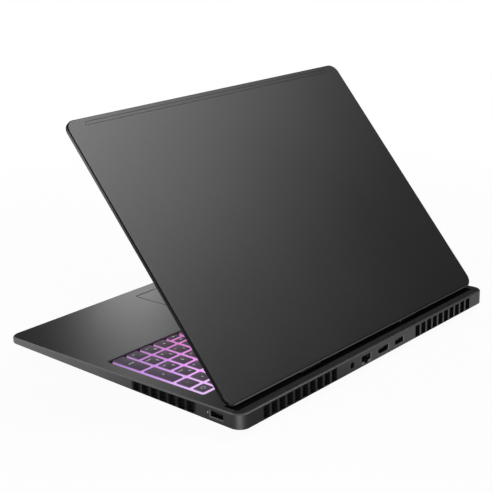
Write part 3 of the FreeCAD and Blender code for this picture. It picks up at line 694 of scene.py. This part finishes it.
@dataclass(frozen=True)
class PaleFloor:
    """A white floor that stays white away from the object and keeps its shadow near it, with a painted shade
    near the rear right corner that only reflections see.
    """

    name: str
    colour: Colour = (0.82, 0.82, 0.82)
    flecks: float = 40.0
    fleck_gain: float = 0.99
    seen_lift: float = 0.95
    near: float = 0.3
    far: float = 0.9
    mirrored_lift: float = 0.75
    # centre, reach and depth of a painted shade that only reflections see
    painted_shade_centre: Triple = (0.17, 0.13, 0.0)
    painted_shade_reach: Span = (0.09, 0.22)
    painted_shade_level: float = 0.05

    def material(self) -> Material:
        """Make the finish.

        Returns:
            The material.
        """
        shader = Shader(self.name)
        rays = ("Is Camera Ray", "Is Glossy Ray", "Is Transmission Ray")
        camera, glossy, through = (shader.node("ShaderNodeLightPath", {}, {}, ray) for ray in rays)
        seen = shader.ramp(shader.length(shader.place()), self.near, self.far, self.seen_lift, 1.0)
        lift = camera * seen + glossy * self.mirrored_lift + through * self.mirrored_lift
        # painted shade: darkens the floor in reflections near the rear right corner
        from_shade = shader.length(shader.vector("SUBTRACT", shader.place(), self.painted_shade_centre))
        shade = shader.ramp(from_shade, *self.painted_shade_reach, 1.0 - self.painted_shade_level, 0.0)
        fleck = shader.noise(self.flecks, 3.0)
        paint = shader.blend(fleck, scaled(self.colour, self.fleck_gain), self.colour)
        matt = shader.node("ShaderNodeBsdfDiffuse", {}, {"Color": paint})
        white = shader.node("ShaderNodeEmission", {}, {"Color": WHITE, "Strength": 1.0})
        unlit = shader.node("ShaderNodeEmission", {}, {"Color": BLACK, "Strength": 0.0})
        glow = shader.node("ShaderNodeMixShader", {}, {0: glossy * shade, 1: white, 2: unlit})
        mixed = shader.node("ShaderNodeMixShader", {}, {0: lift, 1: matt, 2: glow})
        shader.node("ShaderNodeOutputMaterial", {}, {"Surface": mixed})
        return shader.material


Finish = SatinMetal | MouldedPlastic | BrushedMetal | CircuitBoard | KeyCap | LightSheet | LitMark | DarkGlass


def dress(names: Iterable[str], finish: Finish) -> None:
    """Give CAD nodes a finish.

    Args:
        names: the nodes.
        finish: their finish.
    """
    material = finish.material()
    for name in names:
        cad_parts[name].material_slots[0].material = material
        LOG.info("%s: %s", name, material.name)


def mesh_data(mesh: BMesh, name: str) -> bpy.types.Mesh:
    """Turn a shape into mesh data and free it.

    Args:
        mesh: the shape.
        name: the data's name.

    Returns:
        The data.
    """
    data = bpy.data.meshes.new(name)
    mesh.to_mesh(data)
    mesh.free()
    return data


def add_object(name: str, data: bpy.types.ID) -> bpy.types.Object:
    """Add an object to the scene.

    Args:
        name: the object's name.
        data: its mesh, letters, lamp or camera.

    Returns:
        The object.
    """
    made = bpy.data.objects.new(name, data)
    bpy.context.scene.collection.objects.link(made)
    return made


def make_piece(mesh: BMesh, name: str, body: str, finish: Finish,
               replaces: Iterable[str] = ()) -> None:
    """Make an object of a mesh and let it ride on a body.

    Args:
        mesh: the shape in the shared frame, freed here.
        name: the piece's name.
        body: the CAD body that carries it.
        finish: its finish.
        replaces: the CAD nodes that it stands for.
    """
    bmesh.ops.recalc_face_normals(mesh, faces=mesh.faces)
    data = mesh_data(mesh, name)
    data.shade_smooth()
    data.set_sharp_from_angle(angle=math.radians(SHARP_ANGLE))
    data.materials.append(finish.material())
    piece = add_object(name, data)
    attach(piece, body)
    if replaces:
        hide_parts(*replaces)
    LOG.info("%s: %d faces on %s", name, len(data.polygons), body)


@dataclass(frozen=True)
class Box:
    """The lowest and highest corner of a solid."""

    low: Vector
    high: Vector

    @property
    def centre(self) -> Vector:
        """Return the middle of the box."""
        return (self.low + self.high) / 2

    @property
    def size(self) -> Vector:
        """Return the lengths of the box's sides."""
        return self.high - self.low

    @property
    def top(self) -> Vector:
        """Return the middle of the box's top."""
        return Vector((self.centre.x, self.centre.y, self.high.z))


def solids_of(node: str) -> list[Box]:
    """Find the separate solids of a CAD node.

    Args:
        node: the node's name.

    Returns:
        Their boxes, the rear row first and each row from left to right.
    """
    mesh = bmesh.new()
    mesh.from_mesh(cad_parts[node].data)
    bmesh.ops.remove_doubles(mesh, verts=mesh.verts, dist=WELD)
    waiting = set(mesh.verts)
    boxes = []
    while waiting:
        island = {waiting.pop()}
        edge = list(island)
        while edge:
            near = {link.other_vert(vert) for vert in edge for link in vert.link_edges} - island
            island |= near
            edge = list(near)
        waiting -= island
        places = [vert.co for vert in island]
        boxes.append(Box(Vector(map(min, *places)), Vector(map(max, *places))))
    mesh.free()
    return sorted(boxes, key=lambda box: (-round(box.centre.y / MM, 1), box.centre.x))


def add_mesh(mesh: BMesh, part: BMesh, matrix: Matrix | None = None) -> None:
    """Join a part into a mesh and free the part.

    Args:
        mesh: the mesh that grows.
        part: what is joined to it.
        matrix: where the part goes, if it is moved.
    """
    if matrix is not None:
        bmesh.ops.transform(part, matrix=matrix, verts=part.verts)
    data = mesh_data(part, "part")
    mesh.from_mesh(data)
    bpy.data.meshes.remove(data)


def rim_edges(mesh: BMesh, height: float) -> list[BMEdge]:
    """Return the edges round a flat face at one height."""
    return [edge for edge in mesh.edges if all(abs(vert.co.z - height) < WELD for vert in edge.verts)]


def round_edges(mesh: BMesh, edges: list[BMEdge], radius: float, steps: int) -> None:
    """Round edges of a mesh."""
    bmesh.ops.bevel(mesh, geom=edges, offset=radius, offset_type="OFFSET", affect="EDGES", segments=steps,
                    profile=0.5, material=-1, clamp_overlap=True)


def rounded_block(box: Box, corner: float, rim: float, steps: int, draft: float = 0.0) -> BMesh:
    """Make a block with rounded upright edges and a rounded top rim.

    Args:
        box: the block's place.
        corner: radius of the upright edges.
        rim: radius of the top rim.
        steps: segments of each rounding.
        draft: how far the sides lean in over their height.

    Returns:
        The block.
    """
    mesh = bmesh.new()
    place = Matrix.Translation(box.centre) @ Matrix.Diagonal((*box.size, 1.0))
    bmesh.ops.create_cube(mesh, size=1.0, matrix=place)
    upright = [edge for edge in mesh.edges if edge.verts[0].co.xy == edge.verts[1].co.xy]
    round_edges(mesh, upright, corner, steps)
    lean = Vector((1.0 - 2 * draft / box.size.x, 1.0 - 2 * draft / box.size.y, 1.0))
    top = [vert for vert in mesh.verts if vert.co.z > box.centre.z]
    bmesh.ops.scale(mesh, vec=lean, space=Matrix.Translation(-box.centre), verts=top)
    round_edges(mesh, rim_edges(mesh, box.high.z), rim, steps)
    return mesh


def rod(start: Vector, radius: float, length: float, sides: int) -> BMesh:
    """Make an upright rod.

    Args:
        start: the middle of its lower end.
        radius: the rod's radius.
        length: the rod's length.
        sides: how many sides it has.

    Returns:
        The rod.
    """
    mesh = bmesh.new()
    middle = Matrix.Translation(start + Axis.UP.value * length / 2)
    bmesh.ops.create_cone(mesh, cap_ends=True, segments=sides, radius1=radius, radius2=radius, depth=length,
                          matrix=middle)
    return mesh


def lettering(text: str, size: float, thickness: float) -> BMesh:
    """Make flat letters that read from the front edge of the desk.

    Args:
        text: what they say.
        size: the font's size.
        thickness: how thick the letters are.

    Returns:
        The letters about the origin.
    """
    curve = bpy.data.curves.new("letters", "FONT")
    curve.body = text
    curve.size = size
    curve.extrude = thickness / 2
    curve.resolution_u = 2
    curve.align_x = "CENTER"
    curve.align_y = "CENTER"
    holder = add_object("letters", curve)
    data = bpy.data.meshes.new_from_object(holder.evaluated_get(bpy.context.evaluated_depsgraph_get()))
    bpy.data.objects.remove(holder)
    bpy.data.curves.remove(curve)
    mesh = bmesh.new()
    mesh.from_mesh(data)
    bpy.data.meshes.remove(data)
    bmesh.ops.remove_doubles(mesh, verts=mesh.verts, dist=WELD)
    return mesh


class Arrow(Enum):
    """The arrow keys and the turn of their marks, in degrees, from pointing to the right."""

    UP = 90.0
    LEFT = 180.0
    RIGHT = 0.0
    DOWN = 270.0


KEY_LEGENDS: dict[str, list[str]] = {
    "function_row_keys": ["esc", *(f"f{key}" for key in range(1, 13)), "prt", "del", "home", "end", "pg"],
    "number_row_keys": [*"`1234567890-=", "back"],
    "upper_letter_keys": ["tab", *"QWERTYUIOP[]\\"],
    "home_letter_keys": ["caps", *"ASDFGHJKL;'"],
    "enter_key": ["enter"],
    "lower_letter_keys": ["shift", *"ZXCVBNM,./", "shift"],
    "modifier_keys": ["ctrl", "fn", "menu", "alt", "alt", "ctrl"],
    "numpad_keys": ["num", *"/*-789456123", "0", "."],
    "numpad_plus_key": ["+"],
    "numpad_enter_key": ["enter"],
}
KEY_NODES = [*KEY_LEGENDS, "power_key", "space_bar", "arrow_keys"]
SECOND_LEGENDS: dict[str, list[str]] = {
    "numpad_keys": [
        "", "", "", "", "home", "up", "pg up", "left", "", "right", "end", "dn", "pg dn", "ins", "del",
    ],
}


@dataclass
class Keyboard:
    """The keys with their legends, the light panel and the plate under them."""

    cap_height: float = 2.0 * MM
    corner: float = 1.2 * MM
    rim: float = 0.3 * MM
    draft: float = 0.15 * MM
    cap_steps: int = 3
    stem_radius: float = 2.0 * MM
    stem_sides: int = 12
    stem_relief: float = 0.2 * MM
    letter_size: float = 4.6 * MM
    word_size: float = 3.0 * MM
    second_size: float = 2.2 * MM
    legend_offset: Triple = (2.6 * MM, -2.4 * MM, 0.0)
    mark_thickness: float = 0.04 * MM
    arrow_radius: float = 1.3 * MM
    arrow_sides: int = 3
    ring_radius: float = 1.9 * MM
    ring_width: float = 0.35 * MM
    ring_opening: float = 70.0
    ring_steps: int = 20
    glow: KeyGlow = KeyGlow()

    def build(self) -> None:
        """Make the caps and their marks, and dress what lies below."""
        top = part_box("space_bar")[1].z
        cap = KeyCap("key_cap", top, self.glow)
        mark = LitMark("key_legend", (0.75, 0.68, 0.8), 0.45)
        for node in KEY_NODES:
            make_piece(self.caps(node), f"{node}_caps", node, cap, [node])
        for node, words in KEY_LEGENDS.items():
            make_piece(self.legends(node, words), f"{node}_legends", node, mark)
        make_piece(self.arrow_marks(), "arrow_marks", "arrow_keys", mark)
        make_piece(self.power_mark(), "power_mark", "power_key", mark)
        dress(["keyboard_light_panel"], LightSheet("light_sheet", self.glow))
        dress(["keyboard_plate"], BrushedMetal("pressed_steel", (0.32, 0.32, 0.33), 0.4))

    def caps(self, node: str) -> BMesh:
        """Make a node's caps, each with its guide stem.

        Args:
            node: the node of keys.

        Returns:
            All the caps in one mesh.
        """
        mesh = bmesh.new()
        for box in solids_of(node):
            base = box.high.z - self.cap_height
            cap = Box(Vector((box.low.x, box.low.y, base)), box.high)
            add_mesh(mesh, rounded_block(cap, self.corner, self.rim, self.cap_steps, self.draft))
            foot = Vector((box.centre.x, box.centre.y, box.low.z + self.stem_relief))
            add_mesh(mesh, rod(foot, self.stem_radius, base - foot.z, self.stem_sides))
        return mesh

    def legends(self, node: str, words: list[str]) -> BMesh:
        """Make the legends of a node's keys.

        Args:
            node: the node of keys.
            words: one legend for each key, the rear row first.

        Returns:
            All the legends in one mesh.
        """
        mesh = bmesh.new()
        seconds = SECOND_LEGENDS.get(node, [""] * len(words))
        for box, word, second in zip(solids_of(node), words, seconds, strict=True):
            size = self.letter_size if len(word) == 1 else self.word_size
            aside = Vector(self.legend_offset if second else ORIGIN)
            add_mesh(mesh, lettering(word, size, self.mark_thickness), Matrix.Translation(box.top - aside))
            if second:
                small = lettering(second, self.second_size, self.mark_thickness)
                add_mesh(mesh, small, Matrix.Translation(box.top + aside))
        return mesh

    def arrow_marks(self) -> BMesh:
        """Make the triangles on the arrow keys.

        Returns:
            The triangles in one mesh.
        """
        mesh = bmesh.new()
        for box, arrow in zip(solids_of("arrow_keys"), Arrow, strict=True):
            foot = Vector((0.0, 0.0, -self.mark_thickness / 2))
            part = rod(foot, self.arrow_radius, self.mark_thickness, self.arrow_sides)
            tip = max(part.verts, key=lambda vert: vert.co.length).co
            turn = math.radians(arrow.value) - math.atan2(tip.y, tip.x)
            place = Matrix.Translation(box.top)
            add_mesh(mesh, part, place @ Matrix.Rotation(turn, 4, "Z"))
        return mesh

    def power_mark(self) -> BMesh:
        """Make the open ring and the bar on the power key.

        Returns:
            The mark in one mesh.
        """
        mesh = bmesh.new()
        box = solids_of("power_key")[0]
        ring = bmesh.new()
        upright = Matrix.Rotation(math.pi / 2, 4, "X")
        bmesh.ops.create_grid(ring, x_segments=1, y_segments=1, size=0.5, matrix=upright)
        bmesh.ops.scale(ring, vec=(self.ring_width, 1.0, self.mark_thickness), verts=ring.verts)
        bmesh.ops.translate(ring, vec=(self.ring_radius, 0.0, 0.0), verts=ring.verts)
        opening = math.radians(self.ring_opening)
        bmesh.ops.rotate(ring, matrix=Matrix.Rotation(math.pi / 2 + opening / 2, 3, "Z"), verts=ring.verts)
        bmesh.ops.spin(ring, geom=ring.faces[:], angle=2 * math.pi - opening, steps=self.ring_steps,
                       axis=Axis.UP.value, cent=ORIGIN)
        bar = bmesh.new()
        bmesh.ops.create_cube(bar, size=1.0)
        bmesh.ops.scale(bar, vec=(self.ring_width, self.ring_radius, self.mark_thickness), verts=bar.verts)
        bmesh.ops.translate(bar, vec=(0.0, self.ring_radius, 0.0), verts=bar.verts)
        place = Matrix.Translation(box.top)
        add_mesh(mesh, ring, place)
        add_mesh(mesh, bar, place)
        return mesh


@dataclass
class Casing:
    """The deck, the lower casing, the trough, the grilles, the feet and the screws."""

    corner: float = 9.5 * MM
    chamfer: float = 1.0 * MM
    foot_edge: float = 0.7 * MM
    foot_edge_steps: int = 3
    foot_corner: float = 2.5 * MM
    foot_corner_steps: int = 4
    foot_rim: float = 0.01 * MM
    screw_head: float = 1.0 * MM
    screw_sides: int = 24
    recess_width: float = 1.05 * MM
    recess_depth: float = 0.55 * MM
    recess_lobes: int = 6
    lobe_depth: float = 0.16
    shank_radius: float = 1.0 * MM
    shank_sides: int = 12
    wall: float = 5.0 * MM
    edge_rougher: float = 0.1
    # near-black: painted shade on the vent ribs
    rib_shade_colour: Colour = (0.01, 0.01, 0.0105)
    rib_rougher: float = 0.1
    # these place the painted highlights at the socket ends
    socket_shell: float = 0.7 * MM
    socket_rim: float = 1.1 * MM
    socket_soft: float = 0.1 * MM
    # these place the painted highlight on the walls round the keys
    well_gap: float = 3.0 * MM
    well_drop: float = 0.1 * MM
    well_rougher: float = 0.3
    well_soft: float = 0.05 * MM

    def vent_rib_shade(self) -> InBlock:
        """Find the ribs of the right-hand vent, painted near-black like the grille behind them: painted
        shade.

        Returns:
            Their block in the wall.
        """
        low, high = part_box("right_side_grille")
        inner = Vector((high.x, low.y, low.z))
        return InBlock(inner, high + Axis.RIGHT.value * self.wall, self.rib_shade_colour, self.rib_rougher)

    def socket_highlights(self) -> list[InBlock]:
        """Find the painted highlights beside the sockets: lighter casing metal that stands in for lit plated
        shells.

        Returns:
            A block for each: at the left end behind, and in front of and below the socket on the right.
        """
        behind, beside = (Axis.REAR, (1.0, 0.0, 0.0)), (Axis.RIGHT, (0.0, 1.0, 1.0))
        shown = dict.fromkeys(("network_socket", "display_socket", "rear_usb_socket"), behind)
        shown["right_usb_socket"] = beside
        highlights = []
        for node, (outward, ends) in shown.items():
            low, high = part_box(node)
            shell = (Vector((1.0, 1.0, 1.0)) - outward.value) * self.socket_shell
            rim = Vector(ends) * self.socket_rim
            low, high = low + shell - rim, high - shell + outward.value * self.wall
            # painted highlight at the socket's end
            highlights.append(InBlock(low, high, SOCKET_HIGHLIGHT_GREY, 0.0, self.socket_soft))
        return highlights

    def well_wall_highlight(self, top: float) -> InBlock:
        """Find the walls round the keys, painted lighter than the deck so that they show the panel's light
        brighter: a painted highlight.

        Args:
            top: the height of the deck.

        Returns:
            The block that holds them.
        """
        boxes = [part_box(node) for node in KEY_NODES]
        gap = Vector((self.well_gap, self.well_gap, 0.0))
        low = Vector(min(box[0][axis] for box in boxes) for axis in range(3)) - gap
        high = Vector(max(box[1][axis] for box in boxes) for axis in range(3)) + gap
        high.z = top - self.well_drop
        return InBlock(low, high, WELL_HIGHLIGHT_GREY, self.well_rougher, self.well_soft)

    def build(self) -> None:
        """Dress the casing and make its feet and screws."""
        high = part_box("top_cover")[1]
        outline = Outline(ORIGIN, high.x, high.y, self.corner)
        # painted highlight along the deck's top chamfer
        edge = EdgeBand(outline, self.chamfer, high.z - self.chamfer, EDGE_HIGHLIGHT_GREY, self.edge_rougher)
        # painted highlight on the walls round the keys
        # painted shade inside the openings and under the deck
        faces = (InnerFaceShade(outline, high.z), self.well_wall_highlight(high.z), edge)
        # painted highlights at the socket ends
        # painted shade on the vent ribs
        patches = (self.vent_rib_shade(), *self.socket_highlights(), *faces)
        dress(["top_cover"], SatinMetal("deck_metal", patches))
        dress(["bottom_cover"], MouldedPlastic("bottom_plastic", (0.02, 0.02, 0.021), 0.5))
        # black plastic made near-black with almost no reflection: painted shade under the lid
        dress(["hinge_trough"], MouldedPlastic("trough_plastic", (0.001, 0.001, 0.001), 0.7, specular=0.03))
        grilles = ["rear_left_grille", "rear_right_grille", "left_side_grille", "right_side_grille"]
        dress(grilles, MouldedPlastic("grille_plastic", (0.002, 0.002, 0.002), 0.6, specular=0.06))
        rubber = MouldedPlastic("foot_rubber", (0.012, 0.012, 0.012), 0.85, 900.0, 0.05 * MM)
        for node in ("rear_foot", "front_feet"):
            make_piece(self.feet(node), f"{node}_rubber", "base", rubber, [node])
        steel = BrushedMetal("black_steel", (0.05, 0.05, 0.052), 0.38)
        make_piece(self.screws(), "bottom_screws_star", "base", steel, ["bottom_screws"])

    def feet(self, node: str) -> BMesh:
        """Make rubber feet with a rounded lower rim.

        Args:
            node: the node of feet.

        Returns:
            The feet in one mesh.
        """
        mesh = bmesh.new()
        for box in solids_of(node):
            part = rounded_block(box, self.foot_corner, self.foot_rim, self.foot_corner_steps)
            round_edges(part, rim_edges(part, box.low.z), self.foot_edge, self.foot_edge_steps)
            add_mesh(mesh, part)
        return mesh

    def screws(self) -> BMesh:
        """Make the bottom screws with star-shaped recesses.

        Returns:
            The screws in one mesh.
        """
        mesh = bmesh.new()
        for box in solids_of("bottom_screws"):
            radius = box.size.x / 2
            foot = Vector((box.centre.x, box.centre.y, box.low.z))
            head = rod(foot, radius, self.screw_head, self.screw_sides)
            face = min(head.faces, key=lambda item: item.calc_center_median().z)
            bmesh.ops.inset_individual(head, faces=[face], thickness=radius - self.recess_width)
            for vert in face.verts:
                arm = vert.co - foot
                wave = math.cos(self.recess_lobes * math.atan2(arm.y, arm.x))
                vert.co = foot + arm * (1.0 + self.lobe_depth * wave)
            sunk = bmesh.ops.extrude_discrete_faces(head, faces=[face])["faces"]
            bmesh.ops.translate(head, vec=Axis.UP.value * self.recess_depth, verts=sunk[0].verts[:])
            add_mesh(mesh, head)
            shank = Vector((foot.x, foot.y, foot.z + self.screw_head))
            add_mesh(mesh, rod(shank, self.shank_radius, box.high.z - shank.z, self.shank_sides))
        return mesh


@dataclass
class Lid:
    """The lid's back, its strip, the bezel, the screen, the camera and the hinges."""

    half_width: float = 177.5 * MM
    depth: float = 257.2 * MM
    rear: float = 121.7 * MM
    top: float = 24.9 * MM
    corner: float = 9.5 * MM
    chamfer: float = 0.8 * MM
    # width and darkness of a painted shade line along the lid's hinge edge
    shade_band: float = 2.2 * MM
    shade_band_gain: float = 0.65
    # how much lighter the painted highlight on the lid's hinge-edge chamfer is
    lip_highlight_gain: float = 1.7
    lip_rougher: float = 0.2
    flat: LaidFlat = LaidFlat()

    def build(self) -> None:
        """Dress the lid."""
        beyond = Outline((0.0, self.rear - self.depth, 0.0), 2 * self.half_width, self.depth, self.corner)
        low = self.top - self.chamfer
        # painted shade: a darker line along the lid's hinge edge
        shade_band = EdgeBand(beyond, self.shade_band, low, scaled(METAL_GREY, self.shade_band_gain), 0.0, self.flat)
        # painted highlight along the chamfer of the lid's hinge edge
        lip_highlight = scaled(EDGE_HIGHLIGHT_GREY, self.lip_highlight_gain)
        lip = EdgeBand(beyond, self.chamfer, low, lip_highlight, self.lip_rougher, self.flat)
        # painted shade on the lid's sides
        patches = (LidSideShade(self.top, self.rear, self.flat), shade_band, lip)
        dress(["lid_cover"], SatinMetal("lid_metal", patches))
        dress(["aerial_strip"], SatinMetal("strip_paint"))
        dress(["display_bezel"], MouldedPlastic("bezel_plastic", (0.012, 0.012, 0.012), 0.5))
        dress(["display_panel"], DarkGlass("screen_coating", (0.008, 0.008, 0.009), 0.22))
        dress(["webcam"], DarkGlass("camera_glass", (0.01, 0.01, 0.014), 0.08))
        hinges = [f"{side}_hinge_{half}" for side in ("left", "right") for half in ("bracket", "arm")]
        dress(hinges, BrushedMetal("hinge_steel", (0.3, 0.3, 0.3), 0.4))


@dataclass
class Touchpad:
    """The touchpad and its bracket."""

    corner: float = 2.0 * MM
    rim: float = 0.7 * MM
    # near-black band round the touchpad's top: painted shade of the gap round the pad
    rim_shade_colour: Colour = (0.006, 0.006, 0.006)
    rim_rougher: float = 0.2

    def build(self) -> None:
        """Dress the touchpad."""
        low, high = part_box("touchpad")
        outline = Outline((low + high) / 2, (high.x - low.x) / 2, (high.y - low.y) / 2, self.corner)
        # painted shade round the touchpad's edge
        edge = EdgeBand(outline, self.rim, low.z, self.rim_shade_colour, self.rim_rougher)
        dress(["touchpad"], SatinMetal("touchpad_glass", (edge,)))
        dress(["touchpad_bracket"], BrushedMetal("bracket_steel", (0.32, 0.32, 0.33), 0.4))


@dataclass
class Fittings:
    """The sockets, the status light and what the base holds."""

    def build(self) -> None:
        """Dress the sockets and the pieces inside the base."""
        plastic = MouldedPlastic("socket_plastic", (0.004, 0.004, 0.004), 0.5, specular=0.15)
        dress(["dc_jack", "network_socket", "audio_jack"], plastic)
        plated = ["display_socket", "rear_usb_socket", "right_usb_socket", "left_usb_c_socket"]
        dress(plated, BrushedMetal("socket_plating", (0.05, 0.05, 0.052), 0.36))
        dress(["status_light"], LitMark("status_lens", (0.2, 0.2, 0.21), 0.12))
        dress(["motherboard", "memory_modules", "storage_card", "radio_card"], CircuitBoard("solder_mask"))
        dress(["heat_pipes", "cold_plate"], BrushedMetal("bare_copper", (0.6, 0.24, 0.12), 0.3))
        dress(["left_fin_stack", "right_fin_stack"], BrushedMetal("fin_sheet", (0.45, 0.45, 0.46), 0.35))
        fans = [f"{side}_fan_{part}" for side in ("left", "right") for part in ("housing", "rotor")]
        dress(fans, MouldedPlastic("fan_plastic", (0.01, 0.01, 0.0105), 0.45))
        dress(["battery"], MouldedPlastic("battery_film", (0.012, 0.012, 0.013), 0.3, 500.0, 0.03 * MM))
        speaker = MouldedPlastic("speaker_plastic", (0.015, 0.015, 0.015), 0.5)
        dress(["left_speaker", "right_speaker"], speaker)


@dataclass(frozen=True)
class Softbox:
    """A rectangular lamp that faces a point."""

    name: str
    place: Triple
    width: float
    height: float
    radiance: float
    target: Triple = (0.0, 0.0, 0.1)

    def build(self) -> None:
        """Hang the lamp."""
        lamp = bpy.data.lights.new(self.name, "AREA")
        lamp.shape = "RECTANGLE"
        lamp.size = self.width
        lamp.size_y = self.height
        lamp.energy = self.radiance * math.pi * self.width * self.height
        holder = add_object(self.name, lamp)
        away = Vector(self.place) - Vector(self.target)
        turn = away.to_track_quat("Z", "Y").to_matrix().to_4x4()
        holder.matrix_world = Matrix.Translation(self.place) @ turn
        LOG.info("%s: %.1f W", self.name, lamp.energy)


@dataclass
class Studio:
    """The floor, the lamps, the surrounding light and the camera."""

    floor_radius: float = 20.0
    floor_sides: int = 64
    backdrop_height: float = 1.8
    floor_drop: float = 0.1 * MM
    ambient: float = 0.035
    camera_place: Triple = (0.77202, 0.65688, 0.39449)
    camera_azimuth: float = 130.83
    camera_elevation: float = 17.148
    camera_roll: float = -1.406
    lens: float = 86.12
    sensor: float = 36.0

    def build(self) -> None:
        """Set the scene."""
        self.lay_floor()
        self.light_world()
        for lamp in (
            Softbox("key_softbox", (-0.43, 0.25, 1.2), 0.4, 0.4, 10.4),
            Softbox("left_softbox", (-0.8, 0.4, 1.2), 0.6, 0.6, 2.95),
            Softbox("rear_softbox", (-0.5, 0.6, 1.0), 0.4, 0.4, 2.8),
            Softbox("deck_card", (-0.345, -0.52, 0.21), 0.13, 0.1, 7.2),
            Softbox("right_strip", (0.46, -0.41, 0.06), 0.3, 0.1, 36.0),
            Softbox("corner_strip", (0.52, 0.44, 0.05), 0.3, 0.09, 60.0),
            Softbox("front_softbox", (0.7, -1.2, 1.4), 0.7, 0.6, 2.8),
        ):
            lamp.build()
        self.set_camera()
        bpy.context.scene.view_settings.view_transform = "Standard"

    def lay_floor(self) -> None:
        """Lay the floor that the laptop stands on, with a low backdrop around it."""
        mesh = bmesh.new()
        bmesh.ops.create_circle(mesh, cap_ends=True, segments=self.floor_sides, radius=self.floor_radius,
                                matrix=Matrix.Translation((0.0, 0.0, -self.floor_drop)))
        raised = bmesh.ops.extrude_edge_only(mesh, edges=mesh.edges[:])["geom"]
        rim = [item for item in raised if isinstance(item, BMVert)]
        bmesh.ops.translate(mesh, vec=Axis.UP.value * self.backdrop_height, verts=rim)
        data = mesh_data(mesh, "floor")
        data.materials.append(PaleFloor("floor_paint").material())
        add_object("floor", data)

    def light_world(self) -> None:
        """Fill the surroundings with even light."""
        world = bpy.data.worlds.new("studio")
        world.use_nodes = True
        background = world.node_tree.nodes["Background"]
        background.inputs["Color"].default_value = (*WHITE, 1.0)
        background.inputs["Strength"].default_value = self.ambient
        bpy.context.scene.world = world

    def set_camera(self) -> None:
        """Place the camera at the photograph's viewpoint."""
        data = bpy.data.cameras.new("camera")
        data.lens = self.lens
        data.sensor_width = self.sensor
        place = Matrix.Translation(self.camera_place)
        turns = ((self.camera_azimuth, "Z"), (90.0 - self.camera_elevation, "X"), (self.camera_roll, "Z"))
        for angle, axis in turns:
            place = place @ Matrix.Rotation(math.radians(angle), 4, axis)
        camera = add_object("camera", data)
        camera.matrix_world = place
        bpy.context.scene.camera = camera


def main() -> None:
    """Build the laptop's looks in order."""
    logging.basicConfig(level=logging.INFO, format="%(name)s %(message)s")
    for part in (Casing(), Lid(), Touchpad(), Keyboard(), Fittings(), Studio()):
        LOG.info("building %s", type(part).__name__)
        part.build()


if __name__ == "__main__":
    main()
